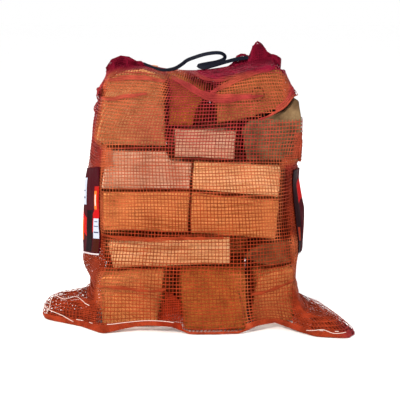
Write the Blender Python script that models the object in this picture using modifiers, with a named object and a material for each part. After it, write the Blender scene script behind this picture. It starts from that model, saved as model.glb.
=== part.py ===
"""Firewood bundle: split logs stacked in a woven net sack with a gathered mouth.

The sack stands upright. X runs along its width, Y from front to back, Z up.
Lengths in the tables below are millimetres, measured in the stack's own frame.
The whole bundle is centred on the origin, standing on z = 0, at the end.
"""

import math
import random

import bmesh
import bpy
from mathutils import Vector

MM = 0.001
COLLECTION_NAME = "firewood_bundle"

# Net sack
NET_THICKNESS = 1.6
NET_CLEARANCE = 9.0
HULL_WINDOW = 36.0
FRONT_SEGMENTS = 16
SIDE_SEGMENTS = 14
BACK_SEGMENTS = 12
BODY_LEVELS = [0, 14, 32, 50, 66, 80, 100, 132, 166, 200, 234, 268, 302, 345, 390, 430, 470, 505]
MOUTH_HALF_WIDTH = 12.0
NET_SIDE_Y = -6.0

# The side edges of the flat sack, as (z, x): they stand off the logs as soft creases.
LEFT_CREASE = [(0, -236), (41, -247), (114, -257), (177, -254), (246, -251), (319, -244),
               (360, -234), (426, -227), (470, -214), (508, -203)]
RIGHT_CREASE = [(0, 232), (36, 227), (84, 231), (154, 234), (212, 236), (246, 233),
                (319, 218), (360, 220), (428, 229), (474, 224), (508, 198)]

# The bottom corners of the sack, spread out on the ground as two empty ears.
EARS = {
    "left": {"root": (-240, -84), "tip": (-346, -80), "root_width": 116, "tip_width": 66},
    "right": {"root": (232, -92), "tip": (327, -201), "root_width": 122, "tip_width": 72},
}
EAR_ROOT_SLACK = 46
EAR_PROFILE = [(0, 1.0), (14, 1.0), (32, 0.95), (50, 0.74), (66, 0.30), (80, 0.0)]

# The net over the top of the stack, as (x, z), and how far its gathered lip stands above that.
CROWN = [(-210, 520), (-186, 535), (-150, 549), (-110, 552), (-72, 536), (-20, 531), (30, 534),
         (80, 546), (125, 558), (168, 561), (182, 552), (196, 530)]
LIP = [(-205, 12), (-186, 27), (-172, 30), (-150, 16), (-130, 10), (-90, 5), (-20, 7), (50, 9),
       (88, 17), (100, 23), (114, 12), (126, 36), (140, 28), (170, 8), (206, 6)]

# Printed film band round the back and both flanks of the sack: its distance from the net, and how
# many ring segments of each flank it leaves bare next to the front corner
BAND_BOTTOM = 100
BAND_TOP = 302
BAND_THICKNESS = 0.9
BAND_GAP = 1.1
BAND_BARE_RIGHT = 3
BAND_BARE_LEFT = 1

# Drawstring tape threaded through the mouth, with a loop pulled up in the middle
DRAWSTRING_RADIUS = 2.4
DRAWSTRING_ROUTE = [(-118, -4, 556), (-96, -5, 549), (-74, -6, 542), (-50, -7, 542),
                    (-34, -9, 549), (-22, -12, 558), (-4, -14, 565), (16, -15, 571),
                    (36, -14, 574), (51, -10, 573), (59, -5, 567), (57, -2, 560), (42, -2, 554),
                    (20, -3, 550), (2, -5, 546), (14, -9, 542), (36, -9, 547), (60, -8, 554),
                    (84, -7, 560), (104, -6, 563), (120, -6, 566)]
DRAWSTRING_STEP = 9.0

# Logs lying across the sack. Their split faces show: heights are (x, z) along the top and bottom
# edges, ends are (x at the bottom, x at the top).
SECTIONS = {
    "billet": [(0, 0), (0, 1), (0.55, 0.985), (1, 0.95), (1, 0.07), (0.5, 0.03)],
    "wedge": [(0, 0), (0, 1), (0.5, 0.97), (0.93, 0.7), (1, 0.45), (0.9, 0.2), (0.45, 0.03)],
    "bark_back": [(0, 0), (0, 1), (0.42, 0.98), (0.74, 0.87), (0.94, 0.64), (1, 0.42),
                  (0.9, 0.17), (0.6, 0.03)],
    "wedge_back": [(0, 0.34), (0.08, 0.72), (0.5, 0.95), (1, 1), (1, 0), (0.45, 0.08)],
}
ACROSS_LOGS = {
    "log_row2_middle": {
        "top": [(-47, 420), (80, 415)], "bottom": [(-48, 361), (78, 356)],
        "ends": ((-48, -47), (78, 80)), "front": -102, "depth": 92, "section": "billet"},
    "log_row3_left": {
        "top": [(-190, 375), (-66, 373), (-58, 355), (-13, 348)], "bottom": [(-203, 294), (-17, 293)],
        "ends": ((-203, -190), (-17, -12)), "front": -106, "depth": 98, "section": "wedge"},
    "log_row3_right": {
        "top": [(-8, 351), (174, 344)], "bottom": [(-12, 292), (172, 275)],
        "ends": ((-11, -7), (172, 175)), "front": -108, "depth": 96, "section": "bark_back"},
    "log_row4_left": {
        "top": [(-200, 286), (-18, 287)], "bottom": [(-201, 203), (-21, 198)],
        "ends": ((-201, -200), (-21, -17)), "front": -107, "depth": 100, "section": "bark_back"},
    "log_row4_right": {
        "top": [(-12, 285), (172, 267)], "bottom": [(-15, 197), (167, 184)],
        "ends": ((-14, -12), (167, 173)), "front": -105, "depth": 96, "section": "billet"},
    "log_row5_left": {
        "top": [(-191, 177), (69, 188)], "bottom": [(-181, 120), (69, 129)],
        "ends": ((-181, -191), (70, 69)), "front": -108, "depth": 98, "section": "billet"},
    "log_back_row2": {
        "top": [(-58, 416), (76, 419)], "bottom": [(-56, 362), (78, 358)],
        "ends": ((-56, -58), (78, 76)), "front": -4, "depth": 94, "section": "wedge_back"},
    "log_back_row3_left": {
        "top": [(-196, 372), (44, 352)], "bottom": [(-192, 300), (46, 290)],
        "ends": ((-192, -196), (46, 44)), "front": -2, "depth": 92, "section": "billet"},
    "log_back_row3_right": {
        "top": [(54, 345), (178, 342)], "bottom": [(52, 286), (176, 280)],
        "ends": ((52, 54), (176, 178)), "front": -4, "depth": 88, "section": "wedge_back"},
    "log_back_row4_left": {
        "top": [(-190, 288), (-72, 284)], "bottom": [(-194, 214), (-74, 210)],
        "ends": ((-194, -190), (-74, -72)), "front": -1, "depth": 95, "section": "wedge_back"},
    "log_back_row4_right": {
        "top": [(-63, 280), (180, 272)], "bottom": [(-61, 203), (178, 192)],
        "ends": ((-61, -63), (178, 180)), "front": -3, "depth": 93, "section": "billet"},
    "log_back_row5": {
        "top": [(-186, 196), (72, 188)], "bottom": [(-190, 126), (74, 132)],
        "ends": ((-190, -186), (74, 72)), "front": -4, "depth": 96, "section": "wedge_back"},
}

# Logs lying front to back. Their sawn ends show: the outline is (x, z) seen from the front, and
# lean is how far the top of the sawn end stands behind its foot.
END_ON_LOGS = {
    "log_row1_left": {
        "outline": [(-195, 387), (-213, 399), (-184, 523), (-166, 534), (-147, 541), (-112, 544),
                    (-88, 535), (-71, 521), (-67, 384)],
        "front": -104, "length": 194, "lean": 4},
    "log_row1_middle": {
        "outline": [(-60, 427), (-59, 522), (-40, 519), (-9, 504), (18, 494), (14, 482),
                    (-3, 458), (-9, 426)],
        "front": -90, "length": 176, "lean": 18},
    "log_row1_right": {
        "outline": [(41, 432), (41, 486), (52, 503), (67, 518), (95, 534), (129, 545), (160, 550),
                    (176, 539), (182, 514), (183, 481), (178, 467), (148, 457), (109, 444)],
        "front": -102, "length": 190, "lean": 6},
    "log_row2_right": {
        "outline": [(104, 353), (93, 418), (109, 437), (150, 446), (182, 457), (194, 470),
                    (202, 484), (211, 479), (218, 440), (217, 400), (212, 354)],
        "front": -104, "length": 192, "lean": 2},
    "log_row5_right": {
        "outline": [(101, 140), (118, 156), (141, 168), (180, 174), (213, 176), (214, 127),
                    (182, 121), (157, 118), (130, 124)],
        "front": -84, "length": 172, "lean": 0},
    "log_row6_left": {
        "outline": [(-202, 4), (-207, 60), (-205, 108), (-142, 116), (-70, 118), (-78, 62), (-87, 5)],
        "front": -146, "length": 204, "lean": 8},
    "log_row6_middle": {
        "outline": [(-28, 4), (-34, 64), (-34, 119), (34, 120), (102, 114), (105, 60), (106, 4)],
        "front": -170, "length": 232, "lean": 34},
    "log_row6_right": {
        "outline": [(116, 4), (118, 34), (123, 68), (132, 98), (167, 112), (205, 119), (208, 62),
                    (207, 4)],
        "front": -112, "length": 190, "lean": 4},
}
LOG_STATIONS = 5
SPLIT_WAVINESS = 1.5
EDGE_BEVEL = 2.2

# Finishes: base colour (sRGB hex), roughness
FINISHES = {
    "red net": ("B3242E", 0.55),
    "printed film": ("7A1A22", 0.35),
    "black tape": ("14161C", 0.6),
    "pale split wood": ("E0A878", 0.8),
    "orange split wood": ("CC8648", 0.8),
    "bark": ("7E6652", 0.92),
}
LOG_FINISH = {
    "log_row3_right": "pale split wood",
    "log_row5_left": "pale split wood",
    "log_row2_middle": "pale split wood",
    "log_row3_left": "pale split wood",
    "log_row2_right": "bark",
    "log_row5_right": "bark",
}


def hex_to_linear(code):
    channels = [int(code[i:i + 2], 16) / 255 for i in (0, 2, 4)]
    linear = [c / 12.92 if c <= 0.04045 else ((c + 0.055) / 1.055) ** 2.4 for c in channels]
    return (*linear, 1.0)


def make_material(name):
    colour, roughness = FINISHES[name]
    material = bpy.data.materials.get(name) or bpy.data.materials.new(name)
    material.use_nodes = True
    shader = material.node_tree.nodes["Principled BSDF"]
    shader.inputs["Base Color"].default_value = hex_to_linear(colour)
    shader.inputs["Roughness"].default_value = roughness
    shader.inputs["Metallic"].default_value = 0.0
    return material


def add_piece(name, mesh, finish, root):
    piece = bpy.data.objects.new(name, mesh)
    bpy.data.collections[COLLECTION_NAME].objects.link(piece)
    piece.parent = root
    mesh.materials.append(make_material(finish))
    return piece


def table_value(table, key):
    """Value at key in a table of (key, value) pairs, by straight lines between them."""
    if key <= table[0][0]:
        return table[0][1]
    for (k0, v0), (k1, v1) in zip(table, table[1:]):
        if key <= k1:
            return v0 + (v1 - v0) * (key - k0) / (k1 - k0)
    return table[-1][1]


def loft(name, rings, closed_ends):
    """Mesh through rings of points with the same count, in millimetres."""
    bm = bmesh.new()
    rows = [[bm.verts.new(Vector(p) * MM) for p in ring] for ring in rings]
    count = len(rings[0])
    for low, high in zip(rows, rows[1:]):
        for i in range(count):
            j = (i + 1) % count
            bm.faces.new((low[i], low[j], high[j], high[i]))
    bm.faces.new(reversed(rows[0]))
    if closed_ends:
        bm.faces.new(rows[-1])
        bmesh.ops.recalc_face_normals(bm, faces=bm.faces)
    mesh = bpy.data.meshes.new(name)
    bm.to_mesh(mesh)
    bm.free()
    return mesh


def across_log_rings(spec, rng):
    """Cross-sections of a log that lies along X; split faces wander a little inwards."""
    (left_bottom, left_top), (right_bottom, right_top) = spec["ends"]
    stations = {k / LOG_STATIONS for k in range(LOG_STATIONS + 1)}
    span = right_top - left_top
    stations |= {(x - left_top) / span for x, _ in spec["top"][1:-1]}
    rings = []
    for t in sorted(stations):
        inner = 0 < t < 1
        x_bottom = left_bottom + t * (right_bottom - left_bottom)
        x_top = left_top + t * span
        z_bottom = table_value(spec["bottom"], x_bottom)
        z_top = table_value(spec["top"], x_top)
        ring = []
        for across, up in SECTIONS[spec["section"]]:
            pull = rng.uniform(0, SPLIT_WAVINESS) if inner else 0
            y = spec["front"] + across * spec["depth"]
            y += pull if across < 0.5 else -pull
            z = z_bottom + up * (z_top - z_bottom)
            z += pull if up < 0.5 else -pull
            ring.append((x_bottom + up * (x_top - x_bottom), y, z))
        rings.append(ring)
    return rings


def end_on_log_rings(spec, rng):
    """Cross-sections of a log that lies along Y, tapering a little towards the back."""
    outline = spec["outline"]
    cx = sum(x for x, _ in outline) / len(outline)
    cz = sum(z for _, z in outline) / len(outline)
    z_foot = min(z for _, z in outline)
    height = max(z for _, z in outline) - z_foot
    rings = []
    for k in range(LOG_STATIONS):
        t = k / (LOG_STATIONS - 1)
        ring = []
        for x, z in outline:
            pull = 0.03 * t * rng.uniform(0.2, 1) + (0.012 * rng.random() if 0 < t < 1 else 0)
            lean = spec["lean"] * (z - z_foot) / height * (1 - t)
            y = spec["front"] + t * spec["length"] + lean
            z_in = z if z == z_foot else z + (cz - z) * pull
            ring.append((x + (cx - x) * pull, y, z_in))
        rings.append(ring)
    return rings


def make_logs(root):
    """Every log as its own solid; returns the logs' corner rings for the sack to wrap."""
    all_rings = []
    for seed, (name, spec) in enumerate([*END_ON_LOGS.items(), *ACROSS_LOGS.items()]):
        rng = random.Random(seed)
        make_rings = end_on_log_rings if name in END_ON_LOGS else across_log_rings
        rings = make_rings(spec, rng)
        log = add_piece(name, loft(name, rings, True), LOG_FINISH.get(name, "orange split wood"), root)
        bevel = log.modifiers.new("worn edges", "BEVEL")
        bevel.width = EDGE_BEVEL * MM
        bevel.segments = 1
        bevel.limit_method = "ANGLE"
        bevel.angle_limit = math.radians(32)
        all_rings.append(rings)
    return all_rings


def log_edge_points(all_rings, spacing=14.0):
    """Points along every edge of every log, close enough for a slice to catch each one."""
    points = []
    for rings in all_rings:
        edges = [(a, b) for low, high in zip(rings, rings[1:]) for a, b in zip(low, high)]
        edges += [(ring[i], ring[i - 1]) for ring in rings for i in range(len(ring))]
        for a, b in edges:
            a, b = Vector(a), Vector(b)
            steps = max(1, math.ceil((b - a).length / spacing))
            points += [a.lerp(b, k / steps) for k in range(steps + 1)]
    return points


def convex_hull(points):
    """Counter-clockwise hull of 2D points."""
    points = sorted(set(points))

    def chain(ordered):
        line = []
        for p in ordered:
            while len(line) > 1:
                (ax, ay), (bx, by) = line[-2:]
                if (bx - ax) * (p[1] - ay) - (by - ay) * (p[0] - ax) > 0:
                    break
                line.pop()
            line.append(p)
        return line[:-1]

    return chain(points) + chain(reversed(points))


def stretch_between(hull, start, end, segments):
    """Points spaced evenly along the hull from corner start up to, not including, corner end."""
    run = [hull[start]]
    i = start
    while i != end:
        i = (i + 1) % len(hull)
        run.append(hull[i])
    lengths = [0.0]
    for a, b in zip(run, run[1:]):
        lengths.append(lengths[-1] + math.dist(a, b))
    xs = list(zip(lengths, [p[0] for p in run]))
    ys = list(zip(lengths, [p[1] for p in run]))
    steps = [lengths[-1] * k / segments for k in range(segments)]
    return [(table_value(xs, s), table_value(ys, s)) for s in steps]


def body_outline(z, edge_points):
    """Plan of the stretched net at height z: it wraps the logs near there and the side creases."""
    plan = [(p.x, p.y) for p in edge_points if abs(p.z - z) <= HULL_WINDOW]
    plan.append((table_value(LEFT_CREASE, z) + NET_CLEARANCE, NET_SIDE_Y))
    plan.append((table_value(RIGHT_CREASE, z) - NET_CLEARANCE, NET_SIDE_Y))
    around = [math.tau * k / 24 for k in range(24)]
    offset = [(x + NET_CLEARANCE * math.cos(a), y + NET_CLEARANCE * math.sin(a))
              for x, y in convex_hull(plan) for a in around]
    hull = convex_hull(offset)
    directions = [(-0.6, -1), (0.6, -1), (0.6, 1), (-0.6, 1)]
    corners = [max(range(len(hull)), key=lambda i, d=d: hull[i][0] * d[0] + hull[i][1] * d[1])
               for d in directions]
    outline = []
    for k, segments in enumerate([FRONT_SEGMENTS, SIDE_SEGMENTS, BACK_SEGMENTS, SIDE_SEGMENTS]):
        outline += stretch_between(hull, corners[k], corners[(k + 1) % 4], segments)
    return outline


def add_ear(outline, ear, reach):
    """Pull the part of an outline at an ear's root out into the ear's rounded lobe."""
    root, tip = Vector(ear["root"]), Vector(ear["tip"])
    along = (tip - root).normalized()
    across = Vector((-along.y, along.x))
    side = math.copysign(1, ear["root"][0])
    half = ear["root_width"] / 2
    shaped = []
    for x, y in outline:
        s = (y - root.y) / half
        if abs(s) >= 1 or x * side < abs(ear["root"][0]) - EAR_ROOT_SLACK:
            shaped.append((x, y))
            continue
        rise = (1 - abs(s) ** 2.6) ** 0.5 * reach
        narrow = 1 + (ear["tip_width"] / ear["root_width"] - 1) * rise
        lobe = root + along * (tip - root).length * rise + across * s * side * half * narrow
        shaped.append((x + (lobe.x - root.x), y + (lobe.y - (root.y + s * half))))
    return shaped


def mouth_rings(outline):
    """Rings that close the net over the stack and stand its gathered lip up."""
    y_mid = NET_SIDE_Y
    half_depth = max(abs(y - y_mid) for _, y in outline)
    rings = []
    for squeeze, narrow, sink in [(0.985, 0.99, 3.5), (0.62, 0.97, -2.0), (0.3, 0.97, -4.0)]:
        rings.append([(x * narrow, y_mid + (y - y_mid) * squeeze,
                       table_value(CROWN, x * narrow) - sink) for x, y in outline])
    slit = MOUTH_HALF_WIDTH / half_depth
    for share, spread in [(0.35, 1.0), (1.0, 1.25)]:
        rings.append([(x * 0.96, y_mid + (y - y_mid) * slit * spread,
                       table_value(CROWN, x * 0.96) + 4.5 + share * table_value(LIP, x * 0.96))
                      for x, y in outline])
    return rings


def solidify(piece, thickness):
    wall = piece.modifiers.new("wall", "SOLIDIFY")
    wall.thickness = thickness * MM
    wall.offset = -1.0
    wall.use_even_offset = True


def make_sack(all_rings, root):
    edge_points = log_edge_points(all_rings)
    outlines = {z: body_outline(z, edge_points) for z in BODY_LEVELS}
    rings = []
    for z in BODY_LEVELS:
        plan = outlines[z]
        reach = table_value(EAR_PROFILE, z)
        if reach > 0:
            for ear in EARS.values():
                plan = add_ear(plan, ear, reach)
        rings.append([(x, y, z) for x, y in plan])
    rings += mouth_rings(outlines[BODY_LEVELS[-1]])
    sack = add_piece("net_sack", loft("net_sack", rings, False), "red net", root)
    solidify(sack, NET_THICKNESS)
    return outlines


def make_label_band(outlines, root):
    """The film wraps the back and the flanks of the sack."""
    first = FRONT_SEGMENTS + BAND_BARE_RIGHT
    last = FRONT_SEGMENTS + 2 * SIDE_SEGMENTS + BACK_SEGMENTS - BAND_BARE_LEFT
    bm = bmesh.new()
    rows = []
    for z in [level for level in BODY_LEVELS if BAND_BOTTOM <= level <= BAND_TOP]:
        plan = outlines[z]
        row = []
        for i in range(first, last + 1):
            (ax, ay), (bx, by) = plan[i - 1], plan[(i + 1) % len(plan)]
            outwards = Vector((by - ay, ax - bx)).normalized() * (BAND_GAP + BAND_THICKNESS)
            x, y = plan[i % len(plan)]
            row.append(bm.verts.new(Vector((x + outwards.x, y + outwards.y, z)) * MM))
        rows.append(row)
    for low, high in zip(rows, rows[1:]):
        for i in range(len(low) - 1):
            bm.faces.new((low[i], low[i + 1], high[i + 1], high[i]))
    mesh = bpy.data.meshes.new("label_band")
    bm.to_mesh(mesh)
    bm.free()
    band = add_piece("label_band", mesh, "printed film", root)
    solidify(band, BAND_THICKNESS)


def smooth_route(points, step):
    """Points a step apart along a Catmull-Rom curve through the route's own points."""
    padded = [points[0], *points, points[-1]]
    dense = []
    for p0, p1, p2, p3 in zip(padded, padded[1:], padded[2:], padded[3:]):
        p0, p1, p2, p3 = (Vector(p) for p in (p0, p1, p2, p3))
        for k in range(12):
            t = k / 12
            dense.append(0.5 * (2 * p1 + (p2 - p0) * t + (2 * p0 - 5 * p1 + 4 * p2 - p3) * t * t
                                + (3 * p1 - p0 - 3 * p2 + p3) * t ** 3))
    dense.append(Vector(points[-1]))
    total = sum((b - a).length for a, b in zip(dense, dense[1:]))
    spacing = total / round(total / step)
    route, walked = [dense[0]], 0.0
    for a, b in zip(dense, dense[1:]):
        walked += (b - a).length
        if walked >= spacing:
            route.append(b)
            walked -= spacing
    route[-1] = dense[-1]
    return route


def make_drawstring(root):
    route = smooth_route(DRAWSTRING_ROUTE, DRAWSTRING_STEP)
    curve = bpy.data.curves.new("drawstring", "CURVE")
    curve.dimensions = "3D"
    curve.bevel_depth = DRAWSTRING_RADIUS * MM
    curve.bevel_resolution = 2
    curve.use_fill_caps = True
    spline = curve.splines.new("POLY")
    spline.points.add(len(route) - 1)
    for point, place in zip(spline.points, route):
        point.co = (*(place * MM), 1.0)
    add_piece("drawstring", curve, "black tape", root)


def centre_on_origin(root):
    """Move the bundle so that the middle of its footprint is the origin."""
    bpy.context.view_layer.update()
    depsgraph = bpy.context.evaluated_depsgraph_get()
    corners = []
    for piece in root.children:
        mesh = piece.evaluated_get(depsgraph).to_mesh()
        corners += [piece.matrix_world @ v.co for v in mesh.vertices]
    for axis in (0, 1):
        values = [c[axis] for c in corners]
        root.location[axis] = -(min(values) + max(values)) / 2


def build_bundle():
    for old in list(bpy.data.objects):
        bpy.data.objects.remove(old, do_unlink=True)
    bpy.context.scene.collection.children.link(bpy.data.collections.new(COLLECTION_NAME))
    root = bpy.data.objects.new("bundle_origin", None)
    bpy.data.collections[COLLECTION_NAME].objects.link(root)
    outlines = make_sack(make_logs(root), root)
    make_label_band(outlines, root)
    make_drawstring(root)
    centre_on_origin(root)


build_bundle()
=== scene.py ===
# Firewood bundle: split logs in a red woven net sack. The looks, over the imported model, in metres.
import math
import random

import bmesh
import bpy
import numpy as np
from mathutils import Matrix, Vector, noise
from mathutils.bvhtree import BVHTree


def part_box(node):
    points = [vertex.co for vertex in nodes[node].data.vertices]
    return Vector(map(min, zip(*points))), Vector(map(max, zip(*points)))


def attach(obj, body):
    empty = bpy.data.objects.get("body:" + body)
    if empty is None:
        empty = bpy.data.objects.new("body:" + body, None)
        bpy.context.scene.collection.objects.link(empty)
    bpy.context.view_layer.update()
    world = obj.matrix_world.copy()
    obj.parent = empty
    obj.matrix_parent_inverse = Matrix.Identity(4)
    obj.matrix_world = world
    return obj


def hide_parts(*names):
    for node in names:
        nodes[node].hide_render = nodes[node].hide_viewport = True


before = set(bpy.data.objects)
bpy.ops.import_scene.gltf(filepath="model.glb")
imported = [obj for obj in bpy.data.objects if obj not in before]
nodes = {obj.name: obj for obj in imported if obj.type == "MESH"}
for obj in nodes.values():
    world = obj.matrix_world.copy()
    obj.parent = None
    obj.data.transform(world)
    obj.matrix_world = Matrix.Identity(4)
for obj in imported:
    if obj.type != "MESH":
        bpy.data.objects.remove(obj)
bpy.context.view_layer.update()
mm = 0.001
print("frame loaded:", len(nodes), "nodes")

cameraView = {
    "place": (0.0094, -1.9998, 0.66),
    "target": (0.0094, -0.0678, 0.272),
    "lens": 84.24,  # millimetres on a 36 mm sensor
}

studio = {
    "key": {"place": (-1.7, -2.1, 2.2), "size": 1.0, "watts": 105, "colour": "FFF6EA"},
    "fill": {"place": (2.3, -1.9, 1.3), "size": 2.2, "watts": 14, "colour": "F4F7FF"},
    "back": {"place": (0.3, 2.3, 2.0), "size": 2.0, "watts": 24, "colour": "FFFFFF"},
    "sky": "FFFFFF",
    "skyStrength": 1.0,
    "floor": "FFFFFF",
    "floorRough": 0.9,
    "floorSize": 90.0,
    "aim": (0, 0, 0.25),       # where the lamps point
}


def toLinear(code):
    channels = [int(code[i:i + 2], 16) / 255 for i in (0, 2, 4)]
    return (*[c / 12.92 if c <= 0.04045 else ((c + 0.055) / 1.055) ** 2.4 for c in channels], 1.0)


def setInputs(node, inputs):  # a value, or a link from a socket or from a node's first output in use
    for key, value in inputs.items():
        if isinstance(value, bpy.types.Node):
            value = next(socket for socket in value.outputs if socket.enabled)
        if isinstance(value, bpy.types.NodeSocket):
            node.id_data.links.new(value, node.inputs[key])
        else:
            node.inputs[key].default_value = value


def addNode(tree, kind, settings=None, inputs=None):
    node = tree.nodes.new(kind if "Node" in kind else "ShaderNode" + kind)
    for name, value in (settings or {}).items():
        if name == "stops":
            for i, (place, colour) in enumerate(value):
                stop = node.color_ramp.elements[i] if i < 2 else node.color_ramp.elements.new(place)
                stop.position = place
                stop.color = toLinear(colour)
        else:
            setattr(node, name, value)
    setInputs(node, inputs or {})
    return node


def newMaterial(name):
    material = bpy.data.materials.new(name)
    material.use_nodes = True
    return material, material.node_tree, material.node_tree.nodes["Principled BSDF"]


def addAimed(name, data, place, target):  # a camera or a lamp, turned towards its target
    thing = bpy.data.objects.new(name, data)
    bpy.context.scene.collection.objects.link(thing)
    thing.location = place
    thing.rotation_euler = (Vector(target) - Vector(place)).to_track_quat("-Z", "Y").to_euler()
    return thing


def makeCamera():
    data = bpy.data.cameras.new("camera")
    data.lens = cameraView["lens"]
    data.sensor_width = 36
    bpy.context.scene.camera = addAimed("camera", data, cameraView["place"], cameraView["target"])


def makeStudio():
    for name in ("key", "fill", "back"):
        spec = studio[name]
        data = bpy.data.lights.new(name, "AREA")
        data.size = spec["size"]
        data.energy = spec["watts"]
        data.color = toLinear(spec["colour"])[:3]
        addAimed(name, data, spec["place"], studio["aim"])
    world = bpy.data.worlds.new("pale room")
    world.use_nodes = True
    setInputs(world.node_tree.nodes["Background"], {"Color": toLinear(studio["sky"]),
                                                    "Strength": studio["skyStrength"]})
    bpy.context.scene.world = world
    bpy.context.scene.view_settings.view_transform = "Standard"

    half = studio["floorSize"] / 2
    mesh = bpy.data.meshes.new("floor")
    corners = [(-half, -half, 0), (half, -half, 0), (half, half, 0), (-half, half, 0)]
    mesh.from_pydata(corners, [], [(0, 1, 2, 3)])
    material, tree, shader = newMaterial("matt floor paint")
    setInputs(shader, {"Base Color": toLinear(studio["floor"]), "Roughness": studio["floorRough"]})
    mesh.materials.append(material)
    floor = bpy.data.objects.new("floor", mesh)
    bpy.context.scene.collection.objects.link(floor)


makeCamera()
makeStudio()
print("camera, studio and floor made")


# shapes shared by the pieces

def addObject(name, mesh, material):
    piece = bpy.data.objects.new(name, mesh)
    bpy.context.scene.collection.objects.link(piece)
    mesh.materials.clear()
    mesh.materials.append(material)
    return piece


def settle(piece):  # turns an object's modifiers into plain mesh
    depsgraph = bpy.context.evaluated_depsgraph_get()
    mesh = bpy.data.meshes.new_from_object(piece.evaluated_get(depsgraph))
    piece.modifiers.clear()
    old = piece.data
    piece.data = mesh
    mesh.name = piece.name
    bpy.data.meshes.remove(old)


def tableValue(table, key):
    return np.interp(key, [k for k, _ in table], [v for _, v in table])


def smoothStep(low, high, value):
    t = np.clip((np.asarray(value, float) - low) / (high - low), 0, 1)
    return t * t * (3 - 2 * t)


def noiseGrid(rows, columns, scale, seed, closed=False):
    # smooth noise from -1 to 1; closed makes its columns meet round a ring
    out = np.zeros((rows, columns))
    for c in range(columns):
        if closed:
            a, radius = math.tau * c / columns, columns / math.tau
            place = (math.cos(a) * radius * scale[1], math.sin(a) * radius * scale[1])
        else:
            place = (c * scale[1], 0.0)
        for r in range(rows):
            out[r, c] = noise.noise(Vector((place[0], place[1] + seed * 7.3, r * scale[0] + seed * 3.1)))
    return out


def resample(line, count):  # count + 1 points evenly spaced along a polyline
    line = np.asarray(line, float)
    steps = np.linalg.norm(np.diff(line, axis=0), axis=1)
    walked = np.concatenate([[0], np.cumsum(steps)])
    places = np.linspace(0, walked[-1], count + 1)
    return np.stack([np.interp(places, walked, line[:, k]) for k in range(line.shape[1])], axis=1)


def smoothLine(points, count):  # a Catmull-Rom curve through given points, evenly spaced
    points = np.asarray(points, float)
    padded = np.vstack([2 * points[0] - points[1], points, 2 * points[-1] - points[-2]])
    dense = []
    for p0, p1, p2, p3 in zip(padded, padded[1:], padded[2:], padded[3:]):
        for t in np.linspace(0, 1, 12, endpoint=False):
            dense.append(0.5 * (2 * p1 + (p2 - p0) * t + (2 * p0 - 5 * p1 + 4 * p2 - p3) * t ** 2
                                + (3 * p1 - p0 - 3 * p2 + p3) * t ** 3))
    dense.append(points[-1])
    return resample(dense, count)


def gridNormals(grid, closed):
    if closed:
        across = np.roll(grid, -1, axis=1) - np.roll(grid, 1, axis=1)
    else:
        across = np.gradient(grid, axis=1)
    up = np.gradient(grid, axis=0)
    normals = np.cross(across, up)
    return normals / np.maximum(np.linalg.norm(normals, axis=2, keepdims=True), 1e-9)


def insidePolygon(x, z, polygon):
    inside = np.zeros(x.shape, bool)
    for (x0, z0), (x1, z1) in zip(polygon, polygon[1:] + polygon[:1]):
        crosses = (z0 > z) != (z1 > z)
        edge = (x1 - x0) * (z - z0) / (z1 - z0 if z1 != z0 else 1e-12) + x0
        inside ^= crosses & (x < edge)
    return inside


# net threads, made by geometry nodes along wires

netCloth = {
    "crimson": "861530",     # near the mouth, darker: this darkening towards the top is painted shade
    "brick": "8E2A14",       # low down, lighter and browner
    "dark": 0.50,            # how deep the darkest threads go
    "pale": 1.15,
    "dustAndWoodLightColour": "B85C38",      # where it lies on wood: partly sawdust that clings to it, partly painted light from the wood, which shows through the half clear tape and bounces onto it
    "dust": 0.85,
    "roughness": 0.5,
    "gloss": 0.02,
    "patchMm": 26,
    "fibreMm": 2.2,
    "gradeFrom": 0.20,
    "gradeTo": 0.54,
    "tipFrom": 0.285,        # the right ear's tip takes the crimson too
    "tipTo": 0.330,
    "gathersFrom": 0.515,    # gathered folds shade each other
    "gathersTo": 0.550,
    "gathersShade": 0.80,
}


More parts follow.
